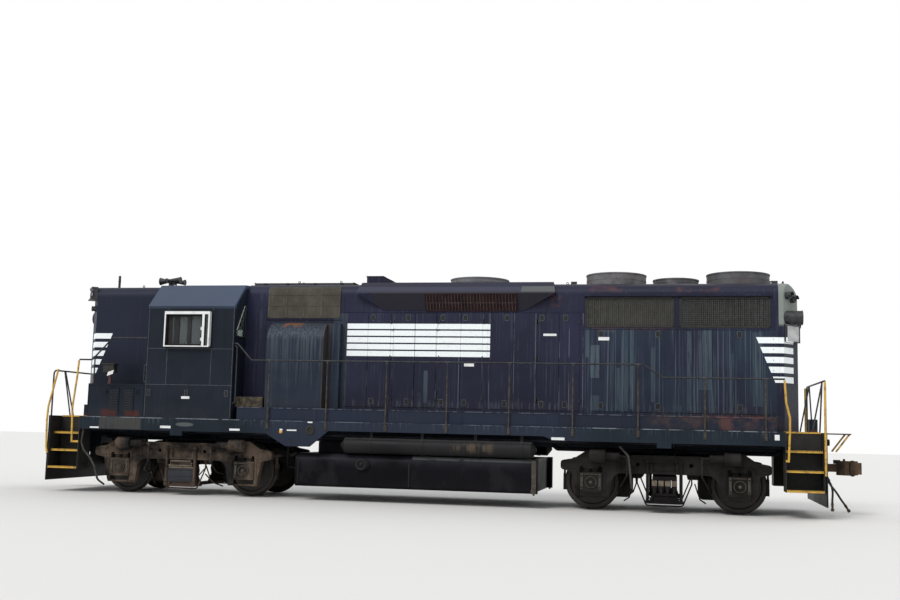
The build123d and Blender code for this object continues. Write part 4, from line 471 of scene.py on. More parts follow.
def white_paint(name="white_paint", reveal=False):
    """Dirty white enamel; on the window frames the inner faces are dark red-brown."""
    paint = Paint(name, 0.5)
    dirt = paint.noise(7, 5, 0.65)
    edge = paint.noise(30, 3, 0.7).rise(0.60, 0.70)
    paint.colour = paint.mix(dirt.rise(0.45, 0.75) * 0.45, (0.78, 0.78, 0.76), (0.40, 0.39, 0.36))
    paint.layer(edge * 0.35, (0.22, 0.20, 0.17))
    if reveal:
        inside = paint.box((-5.190, -4.250), (3.010, 3.660), 0.001) * (abs(paint.y) < 1.608)
        paint.layer(inside, (0.034, 0.016, 0.015))
        low = (paint.z < up(3.011)) * (abs(paint.y) < 1.613)
        paint.layer(low * 0.75, (0.050, 0.045, 0.040))
    paint.set(Base_Color=paint.colour)
    paint.bump(dirt, 0.001, 0.3)
    return paint


def rail_paint():
    """Handrails in worn black, their stanchions gone olive brown."""
    paint = Paint("handrail_black", 0.5)
    blotch = paint.noise(14, 5, 0.6)
    paint.colour = paint.mix(blotch.rise(0.35, 0.65), (0.010, 0.0105, 0.013), (0.028, 0.029, 0.033))
    posts = (paint.z < up(2.45)) * (abs(paint.x) < 6.95) * (abs(paint.y) > 1.50)
    olive = paint.mix(blotch.rise(0.4, 0.6), (0.030, 0.023, 0.016), (0.070, 0.054, 0.034))
    paint.layer(posts * 0.85, olive)
    paint.set(Base_Color=paint.colour, Specular_IOR_Level=0.3)
    paint.bump(paint.noise(98, 3, 0.6) + blotch, 0.002, 0.5)
    return paint


def drop_step_paint():
    """Drop steps: rusty tread plates on yellow brackets."""
    paint = Paint("drop_step_paint", 0.6)
    wear = paint.noise(9, 5, 0.65)
    tread = paint.mix(wear.rise(0.4, 0.6), (0.020, 0.014, 0.012), (0.085, 0.034, 0.026))
    bracket = paint.mix(wear.rise(0.5, 0.7), (0.52, 0.31, 0.045), (0.12, 0.075, 0.030))
    paint.set(Base_Color=paint.mix(paint.z < up(1.49), tread, bracket))
    paint.bump(wear, 0.002, 0.4)
    return paint


def yellow_paint():
    """Safety yellow, rubbed through to dark steel where hands and boots go."""
    paint = Paint("yellow_paint", 0.5)
    dirt = paint.noise(6, 5, 0.65)
    worn = paint.noise(17, 4, 0.7, shift=(1, 2, 3)).rise(0.56, 0.66)
    paint.colour = paint.mix(dirt.rise(0.40, 0.75), (0.62, 0.36, 0.045), (0.34, 0.19, 0.035))
    paint.layer(worn * 0.7, (0.040, 0.028, 0.020))
    paint.set(Base_Color=paint.colour, Roughness=worn.rise(0, 1, 0.45, 0.7))
    paint.bump(worn, 0.001, 0.5)
    return paint


def window_glass():
    """Hazy green-grey glass."""
    paint = Paint("window_glass", 0.06)
    haze = paint.noise(3, 4, 0.6)
    paint.set(Base_Color=(0.46, 0.52, 0.51), Roughness=haze.rise(0.3, 0.8, 0.03, 0.14),
              Transmission_Weight=0.88, IOR=1.25)
    return paint


def lamp_glass():
    """Bright reflectors behind ribbed lenses."""
    paint = Paint("lamp_glass", 0.08)
    rings = paint.noise(40, 2, 0.5)
    paint.set(Base_Color=(0.72, 0.74, 0.72), Metallic=0.55, Roughness=rings.rise(0.3, 0.7, 0.06, 0.2))
    paint.bump(rings, 0.002, 0.4)
    return paint


def dull(name, first, second, roughness, scale=12.0, depth=0.002, metallic=0.0):
    """A plain working finish: two tones in blotches and a fine bump."""
    paint = Paint(name, roughness, metallic)
    blotch = paint.noise(scale, 5, 0.6)
    paint.set(Base_Color=paint.mix(blotch.rise(0.35, 0.65), first, second))
    paint.bump(paint.noise(scale * 7, 3, 0.6) + blotch, depth, 0.5)
    return paint


FINISH = {name: black_coat(Paint(name + "_paint"), *coat) for name, coat in COATS.items()}
FINISH.update({
    "bolster": iron_coat(Paint("bolster_iron"), (0.0050, 0.0048, 0.0062), (0.022, 0.019, 0.018)),
    "iron": iron_coat(Paint("truck_iron"), (0.0085, 0.0078, 0.0074), (0.035, 0.031, 0.029)),
    "coupler": iron_coat(Paint("coupler_iron"), (0.024, 0.018, 0.014), (0.064, 0.048, 0.036), False),
    "wheel": wheel_steel(), "grille": grille_brown(), "brake": brake_red(), "fan": fan_grey(),
    "white": white_paint(), "yellow": yellow_paint(), "glass": window_glass(), "lamp": lamp_glass(),
    "frame": white_paint("window_frame_white", True), "handrail": rail_paint(), "dropstep": drop_step_paint(),
    "seam": dull("worn_seam", (0.030, 0.034, 0.042), (0.075, 0.080, 0.090), 0.6, 22.0),
    "steps": dull("step_black", (0.0050, 0.0045, 0.0040), (0.0150, 0.0125, 0.0105), 0.7, 7.0),
    "wire": dull("screen_wire", (0.044, 0.041, 0.034), (0.078, 0.073, 0.062), 0.8, 15.0),
    "vane": dull("brake_vane", (0.045, 0.028, 0.026), (0.100, 0.072, 0.060), 0.8, 9.0),
    "strap": dull("strap_brown", (0.034, 0.027, 0.020), (0.070, 0.056, 0.042), 0.8, 12.0),
    "cover": dull("cover_navy", (0.0060, 0.0070, 0.0120), (0.0130, 0.0150, 0.0230), 0.7, 9.0),
    "pane": dull("quarter_pane", (0.018, 0.026, 0.023), (0.030, 0.042, 0.038), 0.12, 5.0),
    "rubber": dull("hose_rubber", (0.012, 0.012, 0.012), (0.030, 0.028, 0.026), 0.7, 30.0),
    "hose": dull("dusty_hose", (0.026, 0.024, 0.022), (0.060, 0.054, 0.047), 0.8, 18.0),
    "seat": dull("seat_vinyl", (0.050, 0.052, 0.055), (0.075, 0.076, 0.078), 0.55, 20.0),
    "cabin": dull("cabin_grey", (0.16, 0.19, 0.18), (0.22, 0.25, 0.23), 0.6, 6.0),
    "engine": dull("engine_grey", (0.09, 0.10, 0.10), (0.16, 0.17, 0.165), 0.55, 7.0),
    # Near-black for dark parts, and as painted shade in the latch recesses and the gusset hole.
    "dark": dull("dark_gap", (0.006, 0.006, 0.007), (0.012, 0.012, 0.013), 0.8, 9.0),
    "rail": dull("rail_black", (0.010, 0.0105, 0.013), (0.028, 0.029, 0.032), 0.55, 14.0),
    "redbrown": dull("sash_red", (0.055, 0.018, 0.016), (0.085, 0.032, 0.026), 0.6, 18.0),
    "tan": dull("tan_wood", (0.090, 0.070, 0.050), (0.160, 0.125, 0.088), 0.8, 16.0),
    "steel": dull("bare_steel", (0.16, 0.155, 0.15), (0.28, 0.27, 0.26), 0.4, 20.0, 0.001, 0.8),
    "pale": dull("pale_edge", (0.25, 0.26, 0.26), (0.42, 0.42, 0.40), 0.6, 16.0),
    "board": dull("board_white", (0.42, 0.43, 0.42), (0.58, 0.58, 0.56), 0.5, 9.0),
    "amber": dull("amber_lens", (0.55, 0.26, 0.03), (0.70, 0.36, 0.05), 0.25, 30.0),
})

NODE_FINISH = {
    "hood": ("long_hood", "short_hood", "hood_door_1", "hood_door_2", "hood_door_3", "hood_door_4",
             "air_duct", "brake_blisters", "exhaust_stack"),
    "blower": ("blower_housing",),
    "cab": ("cab_sides", "cab_ends", "cab_door_front", "cab_door_rear", "battery_boxes", "cab_floor"),
    "roof": ("cab_roof",),
    "sill": ("underframe", "end_plates"),
    "steps": ("stepwells",),
    "dropstep": ("drop_step_front", "drop_step_rear"),
    "tank": ("fuel_tank",),
    "reservoir": ("air_reservoirs",),
    "bolster": ("truck_bolster_front", "truck_bolster_rear"),
    "iron": ("truck_frame_front", "truck_frame_rear", "journal_boxes_front", "journal_boxes_rear",
             "traction_motors_front", "traction_motors_rear"),
    "coupler": ("coupler_front", "coupler_rear", "knuckle_front", "knuckle_rear", "hose_couplings"),
    "wheel": ("wheelset_1", "wheelset_2", "wheelset_3", "wheelset_4"),
    "grille": ("side_grilles",),
    "fan": ("fan_shrouds", "radiator_fan_1", "radiator_fan_2", "radiator_fan_3", "brake_fan"),
    "frame": ("cab_window_frames",),
    "yellow": ("corner_grabs",),
    "glass": ("cab_glass",),
    "lamp": ("lamp_lenses",),
    "rubber": ("brake_hose_1", "brake_hose_2"),
    "cabin": ("cab_fittings",),
    "engine": ("engine",),
    "handrail": ("handrails",),
    "rail": ("end_rails", "end_lamps", "roof_fittings"),
}
for finish, names in NODE_FINISH.items():
    for name in names:
        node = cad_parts[name]
        node.data.materials.clear()
        node.data.materials.append(FINISH[finish].material)


def soften(mesh, degrees=32.0):
    """Smooth shading, sharp over the given angle."""
    for face in mesh.polygons:
        face.use_smooth = True
    mesh.set_sharp_from_angle(angle=math.radians(degrees))


def placed(name, data):
    """An object with this data, linked to the scene."""
    made = bpy.data.objects.new(name, data)
    bpy.context.scene.collection.objects.link(made)
    return made


def settle(name, mesh, finish, body):
    """A finished mesh becomes a piece that rides on a body."""
    mesh.name = name
    if not mesh.materials:
        mesh.materials.append(FINISH[finish].material)
    piece = placed(name, mesh)
    soften(mesh)
    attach(piece, body)
    return piece


def baked(seed):
    """The mesh of an object with its modifiers applied; the object is used up."""
    bpy.context.view_layer.update()
    mesh = bpy.data.meshes.new_from_object(seed.evaluated_get(bpy.context.evaluated_depsgraph_get()))
    bpy.data.objects.remove(seed)
    return mesh


def outward(places):
    """For each place the direction away from the middle of the locomotive, to its left or right."""
    return [(0.0, 1.0 if place[1] > 0 else -1.0, 0.0) for place in places]


def corners_of(first, second):
    """The four corners of a rectangle from its two ranges."""
    return ((first[0], second[0]), (first[1], second[0]), (first[1], second[1]), (first[0], second[1]))


def square_to(axis):
    """An axis at unit length, and two directions square to it."""
    axis = Vector(axis).normalized()
    first = axis.orthogonal().normalized()
    return axis, first, axis.cross(first)


class Shape:
    """Closed solids gathered in one mesh."""

    def __init__(self):
        self.bm = bmesh.new()

    def prism(self, outline, along):
        """An outline of points carried along a vector."""
        along = Vector(along)
        near = [self.bm.verts.new(Vector(p)) for p in outline]
        far = [self.bm.verts.new(Vector(p) + along) for p in outline]
        count = len(outline)
        self.bm.faces.new(near)
        self.bm.faces.new(list(reversed(far)))
        for i in range(count):
            j = (i + 1) % count
            self.bm.faces.new((near[i], far[i], far[j], near[j]))
        return self

    def box(self, low, high):
        (x0, y0, z0), (x1, y1, z1) = low, high
        return self.prism(((x0, y0, z0), (x1, y0, z0), (x1, y1, z0), (x0, y1, z0)), (0, 0, z1 - z0))

    def circle(self, centre, first, second, radius, sides):
        turns = (2 * math.pi * i / sides for i in range(sides))
        return [self.bm.verts.new(centre + (first * math.cos(a) + second * math.sin(a)) * radius)
                for a in turns]

    def turned(self, profile, origin, axis, sides=24):
        """A solid of revolution: profile rows are (distance along the axis, radius)."""
        axis, first, second = square_to(axis)
        rings = []
        for distance, radius in profile:
            centre = Vector(origin) + axis * distance
            if radius < 1e-6:
                rings.append([self.bm.verts.new(centre)])
            else:
                rings.append(self.circle(centre, first, second, radius, sides))
        for a, b in zip(rings, rings[1:]):
            for i in range(sides):
                j = (i + 1) % sides
                corners = [a[i % len(a)], a[j % len(a)], b[j % len(b)], b[i % len(b)]]
                unique = list(dict.fromkeys(corners))
                if len(unique) > 2:
                    self.bm.faces.new(unique)
        for ring in (rings[0], rings[-1]):
            if len(ring) > 2:
                self.bm.faces.new(ring)
        return self

    def rod(self, start, end, radius, sides=16):
        along = Vector(end) - Vector(start)
        return self.turned(((0, radius), (along.length, radius)), start, along, sides)

    def ring(self, centre, axis, inner, outer, thick, sides=32):
        """A flat ring about an axis."""
        axis, first, second = square_to(axis)
        loops = [self.circle(Vector(centre) + axis * offset, first, second, radius, sides)
                 for radius, offset in corners_of((inner, outer), (-thick / 2, thick / 2))]
        for k in range(4):
            a, b = loops[k], loops[(k + 1) % 4]
            for i in range(sides):
                j = (i + 1) % sides
                self.bm.faces.new((a[i], a[j], b[j], b[i]))
        return self

    def face_out(self):
        bmesh.ops.recalc_face_normals(self.bm, faces=self.bm.faces)
        return self

    def mesh(self, name):
        """The gathered solids as a mesh; the shape is used up."""
        mesh = bpy.data.meshes.new(name)
        self.bm.to_mesh(mesh)
        self.bm.free()
        return mesh

    def piece(self, name, finish, body="locomotive", bevel=0.0):
        self.face_out()
        if bevel:
            edges = [e for e in self.bm.edges if e.is_manifold and e.calc_face_angle(0) > math.radians(40)]
            bmesh.ops.bevel(self.bm, geom=edges, offset=bevel, segments=2, profile=0.6, affect="EDGES",
                            clamp_overlap=True)
        return settle(name, self.mesh(name), finish, body)


class Growth(Nodes):
    """A Geometry Nodes tree that repeats a shape."""

    def __init__(self, name, inputs):
        super().__init__(bpy.data.node_groups.new(name, "GeometryNodeTree"))
        face = self.tree.interface
        face.new_socket("Geometry", in_out="OUTPUT", socket_type="NodeSocketGeometry")
        face.new_socket("Geometry", in_out="INPUT", socket_type="NodeSocketGeometry")
        for label, kind in inputs:
            face.new_socket(label, in_out="INPUT", socket_type="NodeSocket" + kind)
        face.new_socket("Finish", in_out="INPUT", socket_type="NodeSocketMaterial")
        start = self.node("NodeGroupInput")
        self.given = {socket.name: Value(self, socket) for socket in start.socket.node.outputs if socket.name}

    def attribute(self, name):
        return self.node("GeometryNodeInputNamedAttribute", {"data_type": "FLOAT_VECTOR"}, {"Name": name})

    def instances(self, points, instance, **more):
        return self.node("GeometryNodeInstanceOnPoints", None,
                         {"Points": points, "Instance": instance, **more})

    def marks(self, count, offset=(0.0, 0.0, 0.0)):
        """Points at one step along a line."""
        return self.node("GeometryNodeMeshLine", {"mode": "OFFSET"}, {"Count": count, "Offset": offset})

    def circle(self, sides, radius):
        return self.node("GeometryNodeCurvePrimitiveCircle", None, {"Resolution": sides, "Radius": radius})

    def close(self, geometry):
        geometry = self.node("GeometryNodeRealizeInstances", None, [geometry])
        geometry = self.node("GeometryNodeSetMaterial", None, {"Geometry": geometry,
                                                               "Material": self.given["Finish"]})
        last = self.tree.nodes.new("NodeGroupOutput")
        self.tree.links.new(geometry.socket, last.inputs[0])
        return self

    def grow(self, name, base, finish, body="locomotive", **sizes):
        """The tree run on a base mesh, as a plain piece."""
        seed = placed(name + "_seed", base)
        modifier = seed.modifiers.new("growth", "NODES")
        modifier.node_group = self.tree
        sizes["Finish"] = FINISH[finish].material
        for item in self.tree.interface.items_tree:
            if item.in_out == "INPUT" and item.name in sizes:
                modifier[item.identifier] = sizes[item.name]
        mesh = baked(seed)
        for attribute in [a.name for a in mesh.attributes if a.name in ("facing", "turn", "size")]:
            mesh.attributes.remove(mesh.attributes[attribute])
        return settle(name, mesh, finish, body)


def point_mesh(places, **columns):
    """Loose points, with one vector attribute for each named column."""
    mesh = bpy.data.meshes.new("points")
    mesh.from_pydata([tuple(p) for p in places], [], [])
    for name, rows in columns.items():
        attribute = mesh.attributes.new(name, "FLOAT_VECTOR", "POINT")
        attribute.data.foreach_set("vector", [c for row in rows for c in row])
    return mesh


def line_mesh(runs):
    """Polylines as loose edges."""
    points, edges = [], []
    for run in runs:
        start = len(points)
        points += [tuple(p) for p in run]
        edges += [(start + i, start + i + 1) for i in range(len(run) - 1)]
    mesh = bpy.data.meshes.new("lines")
    mesh.from_pydata(points, edges, [])
    return mesh


def heads_tree():
    """Bolt, rivet or nut heads on points, facing out."""
    tree = Growth("bolt_heads", (("Radius", "Float"), ("Height", "Float"), ("Corners", "Int")))
    head = tree.node("GeometryNodeMeshCylinder", None, {"Vertices": tree.given["Corners"],
                                                        "Radius": tree.given["Radius"],
                                                        "Depth": tree.given["Height"]})
    turn = tree.node("FunctionNodeAlignRotationToVector", {"axis": "Z"}, {"Vector": tree.attribute("facing")})
    return tree.close(tree.instances(tree.given["Geometry"], head, Rotation=turn))


def blocks_tree():
    """Small blocks on points, each with its own size and turn."""
    tree = Growth("small_blocks", ())
    cube = tree.node("GeometryNodeMeshCube", None, {"Size": (1.0, 1.0, 1.0)})
    turn = tree.node("FunctionNodeEulerToRotation", None, [tree.attribute("turn")])
    return tree.close(tree.instances(tree.given["Geometry"], cube, Rotation=turn,
                                     Scale=tree.attribute("size")))


def pipes_tree():
    """Round bars along polylines, with rounded corners."""
    tree = Growth("round_bars", (("Radius", "Float"), ("Bend", "Float"), ("Sides", "Int")))
    path = tree.node("GeometryNodeMeshToCurve", None, [tree.given["Geometry"]])
    path = tree.node("GeometryNodeFilletCurve", {"mode": "POLY"},
                     {"Curve": path, "Radius": tree.given["Bend"], "Count": 5, "Limit Radius": True})
    ring = tree.circle(tree.given["Sides"], tree.given["Radius"])
    return tree.close(tree.node("GeometryNodeCurveToMesh", None,
                                {"Curve": path, "Profile Curve": ring, "Fill Caps": True}))


def row_tree():
    """The given piece repeated at one step along a line."""
    tree = Growth("row", (("Count", "Int"), ("Step", "Vector")))
    line = tree.marks(tree.given["Count"], tree.given["Step"])
    return tree.close(tree.instances(line, tree.given["Geometry"]))


def guard_tree():
    """Round wire guard on each point: rings at one spacing and spokes across them."""
    tree = Growth("wire_guard", (("Rings", "Int"), ("Spacing", "Float"), ("Wire", "Float"),
                                 ("Spokes", "Int")))
    given = tree.given
    size = (tree.node("GeometryNodeInputIndex") + 1.0) * given["Spacing"]
    rings = tree.instances(tree.marks(given["Rings"]), tree.circle(40, 1.0), Scale=size)
    spoke = tree.node("GeometryNodeCurvePrimitiveLine", None,
                      {"Start": (0.0, 0.0, 0.0), "End": (1.0, 0.0, 0.0)})
    reach = tree.node("ShaderNodeMath", {"operation": "MULTIPLY"}, [given["Rings"], given["Spacing"]])
    angle = tree.node("GeometryNodeInputIndex") * (2 * math.pi) / given["Spokes"]
    turn = tree.node("FunctionNodeEulerToRotation", None,
                     [tree.node("ShaderNodeCombineXYZ", None, {2: angle})])
    spokes = tree.instances(tree.marks(given["Spokes"]), spoke, Scale=reach, Rotation=turn)
    join = tree.tree.nodes.new("GeometryNodeJoinGeometry")
    for part in (rings, spokes):
        real = tree.node("GeometryNodeRealizeInstances", None, [part])
        tree.tree.links.new(real.socket, join.inputs[0])
    wires = tree.node("GeometryNodeCurveToMesh", None,
                      {"Curve": Value(tree, join.outputs[0]), "Profile Curve": tree.circle(5, given["Wire"]),
                       "Fill Caps": True})
    return tree.close(tree.instances(given["Geometry"], wires))


HEADS = heads_tree()
BLOCKS = blocks_tree()
PIPES = pipes_tree()
ROW = row_tree()
GUARD = guard_tree()


def heads(name, places, facing, finish, radius, height, body="locomotive", corners=6):
    """Heads on (x, y, z) rows that all face one way, or each its own."""
    rows = facing if isinstance(facing, list) else [facing] * len(places)
    return HEADS.grow(name, point_mesh(places, facing=rows), finish, body, Radius=radius, Height=height,
                      Corners=corners)


def blocks(name, rows, finish, body="locomotive"):
    """Blocks from rows of (centre, size, turn)."""
    return BLOCKS.grow(name, point_mesh([r[0] for r in rows], size=[r[1] for r in rows],
                                        turn=[r[2] if len(r) > 2 else (0, 0, 0) for r in rows]), finish, body)


def pipes(name, runs, finish, radius, body="locomotive", bend=0.05, sides=12):
    """Round bars along runs of points."""
    return PIPES.grow(name, line_mesh(runs), finish, body, Radius=radius, Bend=bend, Sides=sides)


# Camera and stage

def aim_camera():
    """The photograph's viewpoint, from the fit of its camera to the locomotive's known sizes."""
    yaw, pitch, roll = 0.20562, 0.11738, 0.02375
    eye = (5.0938, -22.3238, 1.479)
    ahead = Vector((-math.sin(yaw) * math.cos(pitch), math.cos(yaw) * math.cos(pitch), math.sin(pitch)))
    level = Vector((math.cos(yaw), math.sin(yaw), 0))
    above = level.cross(ahead)
    right = level * math.cos(roll) + above * math.sin(roll)
    top = above * math.cos(roll) - level * math.sin(roll)
    data = bpy.data.cameras.new("camera")
    data.lens = 43.65
    data.sensor_width = 36.0
    data.clip_end = 500.0
    camera = placed("camera", data)
    turn = Matrix((right, top, -ahead)).transposed().to_4x4()
    camera.matrix_world = Matrix.Translation(eye) @ turn
    bpy.context.scene.camera = camera


def white_to_camera(nodes, lit, shown):
    """A white surface to the camera, glossy and transmitted rays; the lit one to the rest."""
    path = nodes.outputs(nodes.node("ShaderNodeLightPath"))
    named = {value.socket.name: value for value in path}
    seen = named["Is Camera Ray"].most(named["Is Glossy Ray"]).most(named["Is Transmission Ray"])
    return nodes.node("ShaderNodeMixShader", None, [seen, lit, shown])


def lay_stage():
    """A pale floor, an even white sky and two soft suns."""
    reach = (-90, 90)
    floor_mesh = bpy.data.meshes.new("floor")
    floor_mesh.from_pydata([(x, y, -0.002) for x, y in corners_of(reach, reach)], [], [(0, 1, 2, 3)])
    floor = placed("floor", floor_mesh)
    paint = Paint("floor_paint", 0.9)
    paint.set(Base_Color=(0.72, 0.69, 0.65))
    floor_mesh.materials.append(paint.material)
    world = bpy.data.worlds.new("studio")
    bpy.context.scene.world = world
    world.use_nodes = True
    world.node_tree.nodes.clear()
    nodes = Nodes(world.node_tree)
    lit = nodes.node("ShaderNodeBackground", None, [(0.88, 0.94, 1.0), 0.80])
    shown = nodes.node("ShaderNodeBackground", None, [(1.0, 1.0, 1.0), 1.0])
    last = world.node_tree.nodes.new("ShaderNodeOutputWorld")
    world.node_tree.links.new(white_to_camera(nodes, lit, shown).socket, last.inputs[0])
    for name, strength, aim, spread in (("key", 1.5, (0.35, 0.75, -0.85), 25.0),
                                        ("fill", 0.45, (-0.6, -0.6, -0.7), 40.0)):
        data = bpy.data.lights.new(name, "SUN")
        data.energy = strength
        data.angle = math.radians(spread)
        lamp = placed(name, data)
        lamp.rotation_mode = "QUATERNION"
        lamp.rotation_quaternion = Vector(aim).to_track_quat("-Z", "Y")


# Air hoses at the front end

HOSE_1 = ((7.925, -0.430, 0.660), (7.956, -0.430, 0.605), (7.976, -0.432, 0.543), (7.984, -0.436, 0.478),
          (7.983, -0.441, 0.412), (7.978, -0.444, 0.345), (7.974, -0.442, 0.278), (7.976, -0.436, 0.212))
HOSE_2 = ((7.925, -0.300, 0.660), (7.956, -0.300, 0.605), (7.992, -0.297, 0.553), (8.032, -0.291, 0.503),
          (8.071, -0.282, 0.452), (8.107, -0.272, 0.398), (8.141, -0.262, 0.342), (8.177, -0.252, 0.289),
          (8.216, -0.243, 0.238), (8.252, -0.236, 0.182))


def hang_hose(name, route, radius):
    """One hose as a smooth line through its route's control points."""
    curve = bpy.data.curves.new(name, "CURVE")
    curve.dimensions = "3D"
    curve.bevel_depth = radius
    curve.bevel_resolution = 4
    curve.use_fill_caps = True
    curve.resolution_u = 8
    spline = curve.splines.new("NURBS")
    spline.points.add(len(route) - 1)
    for point, place in zip(spline.points, route):
        point.co = (*place, 1.0)
    spline.order_u = 3
    spline.use_endpoint_u = True
    curve.materials.append(FINISH["rubber"].material)
    hose = placed(name, curve)
    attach(hose, "locomotive")
    return hose


def gladhand(name, route):
    """Hose coupling: ribbed shank, body and the half-round lug with its gasket."""
    start, before = Vector(route[-1]), Vector(route[-2])
    along = (start - before).normalized()
    side = Vector((0, 1, 0))
    shape = Shape()
    shape.turned(((-0.045, 0.0235), (-0.035, 0.026), (-0.012, 0.026), (-0.010, 0.0235), (0.0, 0.0245),
                  (0.012, 0.0245), (0.020, 0.020), (0.055, 0.020), (0.060, 0.026), (0.075, 0.030),
                  (0.105, 0.030), (0.109, 0.022)),
                 start, along, 20)
    shape.turned(((-0.028, 0.024), (-0.024, 0.030), (0.024, 0.030), (0.028, 0.024)),
                 start + along * 0.078, side, 18)
    return shape.piece(name, "coupler", bevel=0.0015)


def make_hoses():
    """The two brake hoses with their couplings, in place of the CAD ones."""
    first = gladhand("hose_coupling_1", HOSE_1)
    second = gladhand("hose_coupling_2", HOSE_2)
    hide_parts("hose_couplings")
    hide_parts("hose_couplings")
    one = hang_hose("air_hose_1", HOSE_1, 0.020)
    two = hang_hose("air_hose_2", HOSE_2, 0.020)
    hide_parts("brake_hose_1")
    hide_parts("brake_hose_2")


# Hood sides

HIGH_LATCHES = (-0.96, -0.22, 0.50, 0.96, 1.80, 2.50, 2.97)
LOW_LATCHES = (-0.96, -0.22, 0.49, 0.96, 1.77, 2.50, 2.96)
RADIATOR_LATCHES = (3.66, 4.75, 6.28)
DOOR_PAIRS = ((-1.53, -1.06, -0.59), (0.43, 0.87, 1.31), (1.48, 1.935, 2.39), (2.44, 2.84, 3.24))
HINGED_DOORS = {"hood_door_1": (-1, -0.53, -0.081), "hood_door_2": (-1, -0.069, 0.38),
                "hood_door_3": (1, -0.53, -0.081), "hood_door_4": (1, -0.069, 0.38)}


def door_body(side, x):
    """The body of the door at a place on the hood side, or the locomotive itself."""
    for body, (door_side, x0, x1) in HINGED_DOORS.items():
        if side == door_side and x0 < x < x1:
            return body
    return "locomotive"


def latch_rim(x, y, z, half, level, upright):
    """Rows of the four bars round a latch: its half width and height, and the bars' (x, z) sizes."""
    rows = [((x, y, z + dz), (level[0], 0.008, level[1])) for dz in (half[1], -half[1])]
    return rows + [((x + dx, y, z), (upright[0], 0.008, upright[1])) for dx in (half[0], -half[0])]


def add_door_latches():
    """Slam latches: rimmed recess, a dark slot block as painted shade in the recess, and upright handle, on
    each engine-room door.
    """
    found = {}
    for side in SIDES:
        for xs, z in ((HIGH_LATCHES, 3.67), (LOW_LATCHES, 1.97), (RADIATOR_LATCHES, 3.36),
                      (RADIATOR_LATCHES, 1.97)):
            for x in xs:
                found.setdefault(door_body(side, x), []).append((side, x, up(z)))
    for body, places in found.items():
        tag = "" if body == "locomotive" else "_" + body
        rims, slots, handles = [], [], []
        for side, x, z in places:
            rims += latch_rim(x, side * (PANEL_Y + 0.003), z, (0.042, 0.056), (0.092, 0.012), (0.010, 0.112))
            # Painted shade: a dark block fills each latch recess.
            slots.append(((x, side * (PANEL_Y + 0.0015), z), (0.078, 0.005, 0.104)))
            handles.append(((x + 0.004, side * (PANEL_Y + 0.009), z + 0.004), (0.014, 0.014, 0.070)))
            handles.append(((x + 0.004, side * (PANEL_Y + 0.006), z - 0.030), (0.034, 0.010, 0.018)))
        blocks("latch_rims" + tag, rims, "seam", body)
        blocks("latch_slots" + tag, slots, "dark", body)
        blocks("latch_handles" + tag, handles, "steps", body)


def add_door_hinges():
    """Barrel hinges down both outer edges of each fixed pair of doors."""
    barrels, leaves = [], []
    edges = [(pair[0], -1) for pair in DOOR_PAIRS] + [(pair[2], 1) for pair in DOOR_PAIRS]
    for side in SIDES:
        for x, way in edges:
            for z in (2.05, 2.86, 3.60):
                barrels.append((x + way * 0.004, side * (PANEL_Y + 0.004), up(z)))
                leaves.append(((x - way * 0.024, side * (PANEL_Y + 0.002), up(z)), (0.040, 0.006, 0.075)))
                leaves.append(((x + way * 0.020, side * (HOOD_Y + 0.003), up(z)), (0.028, 0.006, 0.075)))
    heads("door_hinge_barrels", barrels, (0.0, 0.0, 1.0), "rail", 0.011, 0.080, corners=10)
    blocks("door_hinge_leaves", leaves, "hood")


def add_hood_trim():
    """Bolted seam strips on the hood sides, flanges of the air duct and the lip under the intake."""
    rows = []
    bolts = []
    for side in SIDES:
        y = side * (HOOD_Y + 0.004)
        for x in (-3.30, -1.60, 1.395, 3.305, 5.11, 6.90):
            low, high = (1.83, 4.10) if x < 3.3 or x > 6.85 else (3.47, 4.08)
            if side > 0 and x < 0:
                low = 1.56
            rows.append(((x, y, up((low + high) / 2)), (0.040, 0.008, high - low)))
            count = int((high - low) / 0.10)
            bolts += [(x, side * (HOOD_Y + 0.009), up(low + 0.05 + i * 0.10)) for i in range(count)]
        rows.append(((0.85, y, up(3.786)), (4.88, 0.010, 0.022)))
        rows.append(((5.10, y, up(3.468)), (3.62, 0.016, 0.030)))
        rows.append(((-2.455, side * (HOOD_Y + 0.012), up(3.635)), (1.66, 0.032, 0.022)))
    heads("hood_seam_bolts", bolts, outward(bolts), "hood", 0.009, 0.010)
    for x0, x1 in ((-3.60, -1.90), (-1.90, 1.05), (1.05, 4.10), (4.10, 6.90)):
        middle = (x0 + x1) / 2
        rows.append(((middle, -DUCT_Y, up(1.776)), (x1 - x0 - 0.012, 0.010, 0.026)))
        rows.append(((x1 - 0.012, -DUCT_Y, up(1.66)), (0.024, 0.010, 0.22)))
    rows.append(((1.65, -DUCT_Y, up(1.548)), (10.48, 0.010, 0.022)))
    blocks("hood_seam_strips", rows, "hood")


